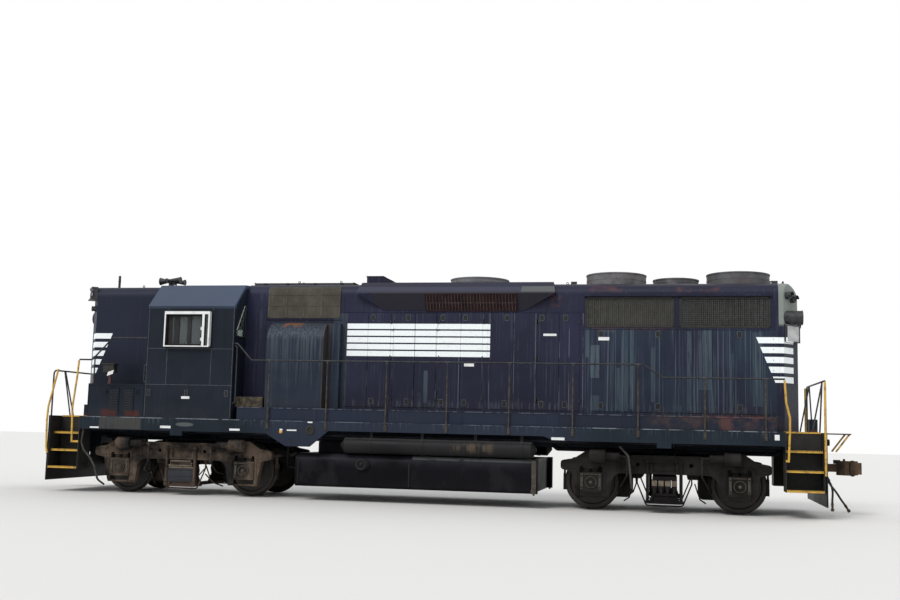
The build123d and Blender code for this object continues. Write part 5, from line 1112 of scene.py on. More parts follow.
def add_radiator_screens():
    """Wire screens in front of the radiator shutters, with their frames."""
    pitch = 0.0386
    for number, (x0, x1) in enumerate(((3.38, 5.03), (5.19, 6.82)), 1):
        for side, hand in HANDS:
            tag = f"{number}_{hand}"
            y = side * 0.9075
            upright = Shape().box((x0 + 0.010, y - 0.0025, up(3.50)), (x0 + 0.016, y + 0.0025, up(4.09)))
            ROW.grow(f"screen_uprights_{tag}", upright.mesh("wire"), "wire",
                     Count=int((x1 - x0 - 0.02) / pitch) + 1, Step=(pitch, 0.0, 0.0))
            wire = Shape().box((x0, y - 0.0020, up(3.525)), (x1, y + 0.0020, up(3.530)))
            ROW.grow(f"screen_wires_{tag}", wire.mesh("wire"), "wire", Count=14, Step=(0.0, 0.0, 0.0405))
            rim = Shape()
            for z in (3.500, 4.072):
                rim.box((x0 - 0.03, side * 0.903, up(z - 0.012)), (x1 + 0.03, side * 0.925, up(z + 0.018)))
            for x in (x0 - 0.03, x1):
                rim.box((x, side * 0.903, up(3.50)), (x + 0.03, side * 0.925, up(4.085)))
            rim.piece(f"screen_frame_{tag}", "steps", bevel=0.002)


def curved_skin(low, high, out, inward):
    """(y, z) points of a strip that follows the hood's side and eave, from out to inward of its surface."""
    turn_z, turn_y = up(HOOD_TOP) - EAVE_R, HOOD_Y - EAVE_R
    def along(radius):
        points = [(turn_y + radius, up(low)), (turn_y + radius, turn_z)]
        top = math.asin(min(1.0, (up(high) - turn_z) / radius))
        points += [(turn_y + radius * math.cos(top * i / 5), turn_z + radius * math.sin(top * i / 5))
                   for i in range(1, 6)]
        return points
    return along(EAVE_R + out) + list(reversed(along(EAVE_R + inward)))


def add_intake_screens():
    """Ribbed khaki screens over the engine-air intakes, curved with the eaves."""
    for side, tag in HANDS:
        for name, x0, x1, step, count, out in (("ribs", -3.232, -3.226, 0.030, 52, 0.021),
                                               ("stays", -3.235, -3.205, 0.3835, 5, 0.024)):
            outline = [(x0, side * y, z) for y, z in curved_skin(3.66, 4.30, out, 0.014)]
            rib = Shape().prism(outline, (x1 - x0, 0, 0)).face_out()
            ROW.grow(f"intake_{name}_{tag}", rib.mesh("rib"), "grille", Count=count, Step=(step, 0.0, 0.0))
        shape = Shape()
        for z in (3.655, 3.90, 4.13):
            shape.box((-3.24, side * 0.930, up(z)), (-1.67, side * 0.939, up(z + 0.014)))
        shape.piece(f"intake_bands_{tag}", "grille", bevel=0.001)


def slope_bar(shape, side, along, out, x, length):
    """A bar on the underside slope of the brake housing, from ranges along the slope and out from it."""
    rise, lean = 0.8824, 0.4705
    shape.prism([(x, side * (HOOD_Y + lean * a + rise * n), up(3.80) + rise * a - lean * n)
                 for a, n in corners_of(along, out)], (length, 0, 0))
    return shape


def add_brake_grilles():
    """Pale vanes over dark red backing in the slopes of the dynamic-brake housings, with frame and bar."""
    for side, tag in HANDS:
        vane = slope_bar(Shape(), side, (0.022, 0.372), (0.003, 0.022), 0.172, 0.009).face_out()
        ROW.grow(f"brake_vanes_{tag}", vane.mesh("vane"), "vane", Count=29, Step=(0.0642, 0.0, 0.0))
        bar = slope_bar(Shape(), side, (0.188, 0.194), (0.018, 0.026), 0.16, 1.84)
        bar.piece(f"brake_middle_bar_{tag}", "vane")
        rim = Shape()
        for along in ((0.008, 0.026), (0.366, 0.384)):
            slope_bar(rim, side, along, (0, 0.026), 0.14, 1.88)
        for x in (0.14, 2.00):
            slope_bar(rim, side, (0.008, 0.384), (0, 0.026), x, 0.020)
        rim.piece(f"brake_frame_{tag}", "brake", bevel=0.0015)
        back = slope_bar(Shape(), side, (0.02, 0.37), (0.0005, 0.003), 0.15, 1.86)
        back.piece(f"brake_backing_{tag}", "brake")


# Roofs

FANS = ((3.900, 0.600, 4.63), (5.090, 0.450, 4.53), (6.305, 0.610, 4.63), (1.073, 0.605, 4.55))


def add_fan_fittings():
    """Wire guards, rolled rims, flanges and flange bolts of the four roof fans."""
    for number, (x, radius, top) in enumerate(FANS, 1):
        rings = 9 if radius > 0.5 else 7
        GUARD.grow(f"fan_guard_{number}", point_mesh([(x, 0.0, up(top) - 0.006)]), "fan", Rings=rings,
                   Spacing=(radius - 0.012) / rings, Wire=0.0045, Spokes=16)
        shape = Shape()
        shape.ring((x, 0, up(top) - 0.014), (0, 0, 1), radius - 0.004, radius + 0.010, 0.026, 64)
        shape.ring((x, 0, up(HOOD_TOP) + 0.006), (0, 0, 1), radius - 0.004, radius + 0.045, 0.010, 64)
        shape.ring((x, 0, up((top + HOOD_TOP) / 2)), (0, 0, 1), radius - 0.004, radius + 0.005, 0.014, 64)
        shape.piece(f"fan_rim_{number}", "fan", bevel=0.002)
        spots = [(x + (radius + 0.026) * math.cos(a), (radius + 0.026) * math.sin(a), up(HOOD_TOP) + 0.014)
                 for a in (2 * math.pi * i / 20 for i in range(20))]
        heads(f"fan_flange_bolts_{number}", spots, (0.0, 0.0, 1.0), "fan", 0.011, 0.010)


def add_roof_fittings():
    """Hatch clamps, lifting eyes, stack lip, aerial base and the air horn's bells."""
    rows = []
    for x in (-3.45, -2.95, -2.35, -1.75):
        for side in SIDES:
            rows.append(((x, side * 0.612, up(4.405)), (0.05, 0.030, 0.045)))
            rows.append(((x, side * 0.628, up(4.385)), (0.028, 0.020, 0.025)))
    rows.append(((-2.595, 0.0, up(4.433)), (2.10, 0.030, 0.010)))
    for x in (-3.69, -2.60, -1.50):
        rows.append(((x, 0.0, up(4.431)), (0.026, 1.21, 0.012)))
    blocks("hatch_clamps", rows, "hood")
    eyes = Shape()
    for x, y, base in ((-2.78, 0.35, 4.43), (-1.85, 0.35, 4.43), (-2.78, -0.35, 4.43), (-1.85, -0.35, 4.43),
                       (2.95, 0.45, HOOD_TOP), (2.95, -0.45, HOOD_TOP), (-6.3, 0.5, NOSE_TOP),
                       (-6.3, -0.5, NOSE_TOP)):
        eyes.turned(((0.0, 0.022), (0.012, 0.022), (0.014, 0.008), (0.030, 0.008)), (x, y, up(base)),
                    (0, 0, 1), 12)
        eyes.ring((x, y, up(base) + 0.050), (0, 1, 0), 0.014, 0.026, 0.010, 16)
    eyes.piece("lifting_eyes", "rail")
    lip = Shape()
    for y in (-0.172, 0.152):
        lip.prism(((-1.348, y, up(4.61)), (-0.976, y, up(4.61)), (-0.765, y, up(4.50)),
                   (-0.765, y, up(4.522)), (-0.978, y, up(4.634)), (-1.348, y, up(4.634))), (0, 0.020, 0))
    lip.box((-1.352, -0.172, up(4.606)), (-1.334, 0.172, up(4.634)))
    lip.box((-0.990, -0.172, up(4.612)), (-0.974, 0.172, up(4.634)))
    lip.piece("stack_lip", "tank", bevel=0.002)
    base = Shape()
    base.turned(((0.0, 0.075), (0.012, 0.075), (0.016, 0.050), (0.055, 0.036), (0.060, 0.030)),
                (-7.16, 0, up(NOSE_TOP)), (0, 0, 1), 20)
    base.turned(((0.0, 0.0285), (0.010, 0.0300), (0.030, 0.0300), (0.032, 0.0285)), (-7.16, 0, up(4.55)),
                (0, 0, 1), 20)
    base.piece("aerial_base", "rail")
    horn = Shape()
    for y, length, mouth in ((-0.19, 0.30, 0.070), (0.0, -0.26, 0.080), (0.19, 0.23, 0.060)):
        way = 1 if length > 0 else -1
        reach = abs(length)
        profile = [(-0.050, 0.030), (-0.048, 0.042), (-0.012, 0.046), (0.0, 0.034)]
        profile += [(reach * t, 0.020 + (mouth - 0.020) * t ** 2.6 + 0.004)
                    for t in (0.1, 0.35, 0.6, 0.8, 0.92)]
        profile += [(reach, mouth + 0.006), (reach + 0.008, mouth + 0.004), (reach + 0.006, mouth - 0.006),
                    (reach * 0.7, mouth * 0.45), (reach * 0.5, 0.0)]
        horn.turned(profile, (-5.90, y, up(4.56)), (way, 0, 0), 24)
    horn.rod((-5.90, -0.24, up(4.515)), (-5.90, 0.24, up(4.515)), 0.016)
    horn.piece("horn_bells", "rail")


# Cab

def add_cab_side_fittings():
    """Sash bars, sills and catches of the side windows, and the weld seams and latches below them."""
    for side, tag in HANDS:
        y = side * 1.515
        sash = []
        for x, w in ((-5.125, 0.080), (-4.985, 0.115), (-4.705, 0.078), (-4.400, 0.100)):
            sash.append(((x, y, up(3.335)), (w, 0.020, 0.60)))
        for z in (3.045, 3.628):
            sash.append(((-4.80, y, up(z)), (0.74, 0.018, 0.020)))
        blocks(f"window_sash_{tag}", sash, "dark")
        rows = [((-4.430, side * SIDE_Y, up(z)), (0.040, 0.006, 0.065)) for z in (3.37, 3.15)]
        blocks(f"window_catches_{tag}", rows, "white")
        inner, outer = side * SIDE_Y, side * 1.6195
        rim = Shape()
        rim.box((-5.232, inner, up(3.716)), (-4.204, outer, up(3.728)))
        rim.box((-5.218, inner, up(2.976)), (-4.218, outer, up(2.991)))
        rim.piece(f"window_drip_edges_{tag}", "rail", bevel=0.002)
        pane = Shape().box((-4.336, side * 1.570, up(3.011)), (-4.251, side * 1.575, up(3.659)))
        pane.piece(f"quarter_pane_{tag}", "pane")
        seams = []
        for z in (2.955, 2.213):
            seams.append(((sum(CAB_X) / 2, side * 1.5305, up(z)), (CAB_X[1] - CAB_X[0], 0.005, 0.009)))
        for x, z0, z1 in ((-5.16, 2.22, 2.95), (-4.19, 2.22, 2.95), (-5.60, 1.56, 3.80), (-3.73, 1.56, 3.80),
                          (-5.16, 3.745, 3.80), (-4.19, 3.745, 3.80)):
            seams.append(((x, side * 1.5305, up((z0 + z1) / 2)), (0.009, 0.005, z1 - z0)))
        blocks(f"cab_seams_{tag}", seams, "seam")
        rims, slots = [], []
        for x in (-5.53, -4.70, -3.83):
            rims += latch_rim(x, side * 1.533, up(2.05), (0.034, 0.062), (0.072, 0.009), (0.009, 0.125))
            # Painted shade: a dark block fills each latch recess; the small upright block in front of it is
            # the handle, in the same finish.
            slots.append(((x, side * 1.531, up(2.05)), (0.055, 0.005, 0.110)))
            slots.append(((x, side * 1.537, up(2.04)), (0.016, 0.016, 0.050)))
        blocks(f"cab_latch_rims_{tag}", rims, "seam")
        blocks(f"cab_latch_slots_{tag}", slots, "dark")


def add_corner_windows():
    """Glazing strips and wipers of the cab's corner windows, door furniture and corner grabs."""
    outline = ((1.44, 3.23), (1.44, 3.345), (1.07, 3.88), (0.985, 3.88), (0.985, 3.23), (1.44, 3.23))
    for end, x, tag in ((1, CAB_X[1], "front"), (-1, CAB_X[0], "rear")):
        for side, hand in HANDS:
            run = [(x + end * 0.004, side * y, up(z)) for y, z in outline]
            pipes(f"glazing_strip_{tag}_{hand}", [run], "steps", 0.014, bend=0.02, sides=8)
            pale = [(x + end * 0.012, y, z) for _, y, z in run[1:3]]
            pipes(f"glazing_edge_{tag}_{hand}", [pale], "pale", 0.012, bend=0.0, sides=8)
        shape = Shape()
        shape.box((x + end * 0.001, end * 1.05, up(2.30)), (x + end * 0.012, end * 1.35, up(2.95)))
        shape.box((x + end * 0.012, end * 1.00, up(2.60)), (x + end * 0.030, end * 1.06, up(2.72)))
        shape.rod((x + end * 0.045, end * 1.01, up(2.66)), (x + end * 0.045, end * 1.12, up(2.66)), 0.010, 10)
        shape.rod((x + end * 0.020, end * 1.03, up(2.66)), (x + end * 0.045, end * 1.03, up(2.66)), 0.010, 10)
        shape.piece(f"cab_door_panel_{tag}", "cab", f"cab_door_{tag}", bevel=0.003)
    wipers = (((0.0, 1.02, 3.90), (0.012, 1.02, 3.87), (0.006, 1.18, 3.45)),
              ((0.004, 1.12, 3.36), (0.004, 1.23, 3.56)))
    arms = []
    for end, x in ((1, -3.690), (-1, -5.640)):
        for side in SIDES:
            arms += [[(x + end * dx, side * y, up(z)) for dx, y, z in arm] for arm in wipers]
    pipes("window_wipers", arms, "rail", 0.007, bend=0.01, sides=6)
    runs = [[(x, side * 1.475, up(z)) for x, z in ((wall, high), (out, high), (out, low), (wall, low))]
            for side in SIDES
            for wall, out, high, low in ((CAB_X[1], -3.655, 3.02, 1.86), (CAB_X[0], -5.675, 2.62, 2.26))]
    pipes("cab_corner_grabs", runs, "rail", 0.014, bend=0.04, sides=10)


def add_battery_fittings():
    """Louvres, latches and lid edges of the battery boxes, and the marker bracket above the right one."""
    slats, rims = [], []
    for side in SIDES:
        face = side * 1.533
        for x in (-6.295, -5.965):
            for i in range(13):
                slats.append(((x, side * 1.546, up(1.66 + i * 0.034)), (0.180, 0.010, 0.012),
                              (side * 0.5, 0, 0)))
            rims.append(((x, side * 1.543, up(2.135)), (0.240, 0.012, 0.014)))
        rims.append(((-6.255, face, up(2.195)), (1.26, 0.010, 0.030)))
        rims += [((x, face, up(1.88)), (0.014, 0.008, 0.62)) for x in (-6.88, -5.64)]
        for x in (-6.45, -5.77):
            rims += [((x + dx, face, up(2.05)), (0.009, 0.008, 0.125)) for dx in (-0.033, 0.033)]
            rims.append(((x, side * 1.536, up(2.05)), (0.016, 0.014, 0.060)))
    blocks("battery_louvres", slats, "dark")
    blocks("battery_box_edges", rims, "cab")
    mark = Shape()
    mark.box((-6.60, -1.50, up(2.45)), (-6.36, -1.34, up(2.62)))
    mark.box((-6.62, -1.52, up(2.61)), (-6.34, -1.32, up(2.635)))
    mark.piece("marker_box", "steps", bevel=0.004)
    post = Shape().rod((-6.47, -1.42, up(2.21)), (-6.47, -1.42, up(2.45)), 0.030, 12)
    post.turned(((0.0, 0.05), (0.02, 0.05), (0.03, 0.03)), (-6.47, -1.42, up(2.215)), (0, 0, 1), 14)
    post.piece("marker_post", "redbrown")
    card = Shape().prism(((-6.50, -1.505, up(2.375)), (-6.37, -1.505, up(2.42)), (-6.35, -1.505, up(2.50)),
                          (-6.48, -1.505, up(2.455))), (0, 0.006, 0))
    card.piece("marker_card", "white")


# Ends

def on_bevel(end, hand, along, out, z):
    """A point on a hood corner: along the bevel from its side edge, and out from it."""
    x0, ux, nx = (7.09, 0.587, 0.810) if end > 0 else (-7.15, -0.587, -0.810)
    return (x0 + ux * along + nx * out, hand * (HOOD_Y - 0.810 * along + 0.587 * out), up(z))


def bevel_block(shape, end, hand, along, out, z):
    """A block standing on a hood corner."""
    outline = [on_bevel(end, hand, a, o, z[0]) for a, o in corners_of(along, out)]
    shape.prism(outline, (0, 0, z[1] - z[0]))


def add_number_boards():
    """Blank number boards on their boxes, and visors and lenses of the class lamps at the hood corners."""
    for end, tag, z, out in ((1, "front", (3.240, 3.555), 0.052), (-1, "rear", (4.130, 4.220), 0.100)):
        boxes, boards = Shape(), Shape()
        for hand in SIDES:
            for zz in (z[0] - 0.010, z[1] - 0.006):
                bevel_block(boxes, end, hand, (0.012, 0.480), (out - 0.012, out + 0.014), (zz, zz + 0.016))
            for a in (0.012, 0.464):
                bevel_block(boxes, end, hand, (a, a + 0.016), (out - 0.012, out + 0.014), z)
            bevel_block(boards, end, hand, (0.034, 0.458), (out - 0.004, out + 0.004),
                        (z[0] + 0.014, z[1] - 0.014))
        boxes.piece(f"number_box_edges_{tag}", "hood", bevel=0.003)
        boards.piece(f"number_board_{tag}", "board" if end > 0 else "pane", bevel=0.001)
    visors, lenses, cases = Shape(), Shape(), Shape()
    for hand in SIDES:
        for along, z, r in ((0.111, 4.118, 0.068), (0.285, 4.062, 0.068), (0.040, 3.690, 0.040)):
            centre = Vector(on_bevel(1, hand, along, 0.068 if r > 0.05 else 0.001, z))
            start, stop = (Vector(on_bevel(1, hand, along, reach, z)) for reach in (0.068, 1.068))
            out = (stop - start).normalized()
            across = out.cross(Vector((0, 0, 1)))
            arc = [centre + across * (r * share * math.cos(a)) + Vector((0, 0, r * share * math.sin(a)))
                   for share, start, step in ((1.10, 0.02, 0.96), (0.94, 0.98, -0.96))
                   for a in (math.pi * (start + step * i / 12) for i in range(13))]
            visors.prism(arc, out * 0.060)
            lenses.turned(((0.0, r * 0.62), (0.012, r * 0.56), (0.020, r * 0.34), (0.023, 0.0)),
                          centre, out, 20)
            cases.turned(((0.0, r * 0.98), (0.006, r * 0.98), (0.008, r * 0.70)), centre, out, 24)
        centre = Vector(on_bevel(-1, hand, 0.20, 0.0, 3.86))
        out = (Vector(on_bevel(-1, hand, 0.20, 1.0, 3.86)) - centre).normalized()
        cases.turned(((0.0, 0.075), (0.012, 0.075), (0.014, 0.056), (0.070, 0.052), (0.078, 0.060),
                      (0.090, 0.060), (0.092, 0.046), (0.080, 0.044)), centre, out, 24)
        lenses.turned(((0.060, 0.044), (0.086, 0.040), (0.096, 0.026), (0.100, 0.0)), centre, out, 20)
    visors.piece("class_lamp_visors", "rail")
    cases.piece("class_lamp_rims", "rail")
    lenses.piece("class_lamp_lenses", "dark")


def add_end_fittings():
    """Headlight rims, end doors, roof-corner grabs, uncoupling levers and end plate knobs."""
    for end, face, tag in ((1, HOOD_FRONT, "front"), (-1, NOSE_X[0], "rear")):
        rims, lamp_z = Shape(), up(3.70)
        for y in (-0.17, 0.17):
            reach = 0.088 if end > 0 else 0.148
            rims.ring((face + end * reach, y, lamp_z), (1, 0, 0), 0.117, 0.1465, 0.018, 40)
            rims.ring((face + end * 0.012, y, lamp_z), (1, 0, 0), 0.137, 0.166, 0.022, 40)
        if end > 0:
            for y in (-0.780, 0.780):
                rims.ring((7.443, y, lamp_z), (1, 0, 0), 0.118, 0.1400, 0.018, 40)
        rims.piece(f"headlight_rims_{tag}", "rail", bevel=0.002)
        door = Shape()
        door.box((face, -0.36, up(1.70)), (face + end * 0.016, 0.36, up(3.40)))
        plate, grip = face + end * 0.016, face + end * 0.045
        for low in (1.78, 2.60):
            door.box((plate, -0.30, up(low)), (face + end * 0.022, 0.30, up(low + 0.72)))
        door.rod((grip, 0.27, up(2.45)), (grip, 0.27, up(2.62)), 0.011, 10)
        for z in (2.46, 2.61):
            door.rod((plate, 0.27, up(z)), (grip, 0.27, up(z)), 0.011, 10)
        door.piece(f"end_door_{tag}", "hood", bevel=0.004)
    foot, top = up(HOOD_TOP - 0.03), up(HOOD_TOP + 0.055)
    grabs = [[(7.12, hand * y, z) for y, z in ((0.60, foot), (0.60, top), (0.36, top), (0.36, foot))]
             for hand in SIDES]
    grabs.append([(x, -0.30, up(HOOD_TOP + high))
                  for x, high in ((6.90, -0.02), (6.90, 0.10), (6.98, 0.10), (6.98, -0.02))])
    pipes("roof_corner_grabs", grabs, "rail", 0.011, bend=0.03, sides=10)
    runs, knobs = [], Shape()
    for end in ENDS:
        x = end * 7.835
        lever = [(x, end * y, up(z))
                 for y, z in ((0.20, 1.10), (0.30, 1.18), (1.18, 1.18), (1.26, 1.05), (1.26, 0.82))]
        runs.append(lever + [(x + end * 0.06, end * 1.30, up(0.72))])
        runs += [[(end * END_X, end * y, up(1.18)), (x, end * y, up(1.18))] for y in (0.62, 1.10)]
        for y in (-0.95, -0.78, 0.78, 0.95):
            knobs.turned(((0.0, 0.075), (0.018, 0.075), (0.022, 0.055), (0.080, 0.052), (0.085, 0.062),
                          (0.105, 0.060)), (end * END_X, y, up(1.36)), (end, 0, 0), 20)
        knobs.box((end * END_X, -0.16, up(0.70)), (end * 7.80, 0.16, up(0.72)))
        for y in (-1.36, -0.46, 0.46, 1.36):
            knobs.box((end * END_X, y - 0.02, up(0.22)), (end * 7.785, y + 0.02, up(1.50)))
    pipes("uncoupling_levers", runs, "rail", 0.014, bend=0.05, sides=10)
    knobs.piece("end_plate_fittings", "sill", bevel=0.003)


def add_step_treads():
    """Yellow nosings with teeth, and grating bars on each step tread."""
    teeth, bars, edges = [], [], []
    for end in ENDS:
        middle = end * 7.38
        for side in SIDES:
            for z, front in ((1.19, 1.35), (0.83, 1.44), (0.48, 1.53)):
                for i in range(22):
                    x = end * (7.052 + 0.015 + i * 0.0298)
                    teeth.append(((x, side * (front - 0.008), up(z) + 0.007), (0.017, 0.032, 0.020)))
                edges.append(((middle, side * (front + 0.002), up(z) - 0.012), (0.652, 0.012, 0.028)))
                for i in range(int((front - 1.10) / 0.031)):
                    bars.append(((middle, side * (1.085 + i * 0.031), up(z) + 0.003), (0.640, 0.007, 0.008)))
            edges.append(((middle, side * 1.076, up(DECK) - 0.005), (0.652, 0.024, 0.030)))
    blocks("tread_teeth", teeth, "yellow")
    blocks("tread_nosings", edges, "yellow")
    blocks("tread_gratings", bars, "steps")


def add_rail_fittings():
    """Feet, bolts and tees of the handrail stanchions."""
    first_post, post_step = -2.916, 1.219
    posts = [first_post + i * post_step for i in range(8)] + [6.70]
    feet, bolts, tees = [], [], []
    for side in SIDES:
        y = side * 1.5475
        for x in posts:
            feet.append(((x, side * 1.541, up(1.43)), (0.052, 0.022, 0.130)))
            bolts += [(x + dx, side * 1.556, up(z)) for z in (1.395, 1.465) for dx in (0.018, -0.018)]
            z = 2.731 if x < 4.5 else 2.492
            tees.append([(x - 0.045, y, up(z)), (x + 0.045, y, up(z))])
            tees.append([(x, y, up(z) - 0.055), (x, y, up(z) - 0.010)])
    blocks("stanchion_feet", feet, "strap")
    heads("stanchion_bolts", bolts, outward(bolts), "rail", 0.009, 0.012)
    pipes("handrail_tees", tees, "rail", 0.0215, bend=0.0, sides=12)


# Underframe

def add_frame_fittings():
    """Gusset ring, blank plates, side lamp, bolt rows, pipes and tank fittings."""
    for side, tag in HANDS:
        shape = Shape()
        shape.ring((-2.015, side * 1.537, up(1.36)), (0, 1, 0), 0.056, 0.092, 0.022, 40)
        shape.ring((-2.417, side * 1.533, up(1.164)), (0, 1, 0), 0.020, 0.034, 0.012, 20)
        shape.piece(f"gusset_rings_{tag}", "steps", bevel=0.002)
        cap = Shape().ring((-0.985, side * 1.396, up(0.713)), (0, 1, 0), 0.068, 0.114, 0.026, 40)
        cap.turned(((0.0, 0.046), (0.012, 0.046), (0.020, 0.024), (0.032, 0.022)),
                   (-0.985, side * 1.388, up(0.713)), (0, side, 0), 24)
        cap.piece(f"tank_filler_{tag}", "reservoir", bevel=0.003)
        lamp = Shape().turned(((0.0, 0.034), (0.016, 0.034), (0.026, 0.022), (0.030, 0.0)),
                              (-2.623, side * SIDE_Y, up(1.310)), (0, side, 0), 18)
        lamp.piece(f"side_lamp_{tag}", "amber")
        # Painted shade: a dark disc inside the gusset ring stands for the hole.
        hole = Shape().turned(((0.0, 0.057), (0.003, 0.057)), (-2.015, side * SIDE_Y, up(1.36)),
                              (0, side, 0), 24)
        hole.piece(f"gusset_hole_shade_{tag}", "dark")
    sill_plates = ((-2.623, 1.355, 0.060, 0.030), (-2.40, 1.347, 0.20, 0.026), (-3.61, 1.33, 0.22, 0.040),
                   (-6.70, 1.31, 0.20, 0.030), (-5.115, 1.35, 0.23, 0.050), (-4.71, 1.955, 0.18, 0.05),
                   (2.905, 1.31, 0.25, 0.050), (6.895, 1.43, 0.085, 0.10), (-2.022, 1.512, 0.10, 0.026))
    plates = [((x, -1.5315, up(z)), (wide, 0.003, high)) for x, z, wide, high in sill_plates]
    plates += [((-0.805, -0.917, up(3.70)), (0.18, 0.006, 0.075)),
               ((1.05, -0.931, up(2.725)), (0.20, 0.004, 0.065)),
               ((2.66, -0.931, up(3.335)), (0.26, 0.004, 0.045)),
               ((3.715, -0.931, up(3.265)), (0.21, 0.004, 0.065))]
    plates += [((x, -y, z), size) for (x, y, z), size in plates]
    blocks("blank_plates", plates, "white")
    rows = []
    for side in SIDES:
        rows += [(-6.85 + i * 0.265, side * 1.532, up(1.500)) for i in range(52)]
        for x, z in ((-2.88, 1.20), (-2.70, 1.10), (-1.78, 1.20), (-1.95, 1.10), (-2.40, 1.07),
                     (-2.15, 1.07)):
            rows.append((x, side * 1.532, up(z)))
    heads("sill_rivets", rows, outward(rows), "sill", 0.008, 0.008, corners=8)
    routes = (((-7.00, 1.10, 1.252), (7.00, 1.10, 1.252)),
              ((-3.25, 1.30, 1.225), (-3.25, 1.30, 1.262), (3.10, 1.30, 1.262), (3.10, 1.30, 1.200)),
              ((-2.60, 0.95, 1.20), (-2.60, 1.12, 1.02), (-2.60, 1.12, 0.60), (-2.36, 1.12, 0.60)))
    runs = [[(x, side * y, up(z)) for x, y, z in route] for side in SIDES for route in routes]
    pipes("brake_pipes", runs, "tank", 0.021, bend=0.06, sides=12)
    for side, tag in HANDS:
        straps = Shape()
        for x in (-0.02, -2.30):
            straps.box((x - 0.014, side * 1.3495, up(0.30)), (x + 0.014, side * 1.3575, up(0.75)))
        straps.piece(f"tank_straps_{tag}", "reservoir", bevel=0.002)
        gauge = Shape().box((2.392, side * 1.346, up(0.25)), (2.482, side * 1.372, up(0.88)))
        gauge.box((2.382, side * 1.346, up(0.25)), (2.482, side * 1.384, up(0.33)))
        gauge.rod((2.436, side * 1.358, up(0.28)), (2.436, side * 1.358, up(0.22)), 0.022, 14)
        gauge.piece(f"tank_gauge_{tag}", "strap", bevel=0.004)
    belly, clamps = [], []
    for end in ENDS:
        for side in SIDES:
            belly.append([(end * x, side * 0.430, up(z))
                          for x, z in ((2.70, 1.165), (2.78, 1.102), (6.95, 1.102), (7.05, 1.165))])
            clamps += [((end * (2.95 + i * 0.77), side * 0.420, up(1.135)), (0.045, 0.095, 0.080))
                       for i in range(6)]
    pipes("frame_conduits", belly, "tank", 0.036, bend=0.05, sides=12)
    blocks("conduit_clamps", clamps, "tank")


# Trucks

def add_frame_ribs(cx, body, tag):
    """Bosses, pads and stiffening ribs on the cast side frames."""
    for side, hand in HANDS:
        face = side * 1.199
        shape = Shape()
        for end in ENDS:
            shape.ring((cx + end * 0.495, side * 1.190, up(0.865)), (0, 1, 0), 0.040, 0.058, 0.014, 28)
            shape.ring((cx + end * 0.700, side * 1.190, up(0.885)), (0, 1, 0), 0.020, 0.032, 0.012, 20)
            x = cx + end * AXLE
            for dx in (-0.262, 0.262):
                shape.box((x + dx - 0.013, face, up(0.34)), (x + dx + 0.013, side * 1.212, up(0.86)))
            shape.box((x - 0.275, face, up(0.848)), (x + 0.275, side * 1.214, up(0.864)))
            for low, high in ((0.876, 0.892), (0.752, 0.768)):
                shape.box((cx + end * 1.66, face, up(low)), (cx + end * 1.92, side * 1.211, up(high)))
            shape.ring((cx + end * 1.880, side * 1.202, up(0.822)), (0, 1, 0), 0.018, 0.036, 0.016, 20)
        for half, low, high in ((0.80, 1.022, 1.038), (0.72, 0.692, 0.706)):
            shape.box((cx - half, face, up(low)), (cx + half, side * 1.213, up(high)))
        shape.piece(f"side_frame_ribs_{tag}_{hand}", "iron", body, bevel=0.003)


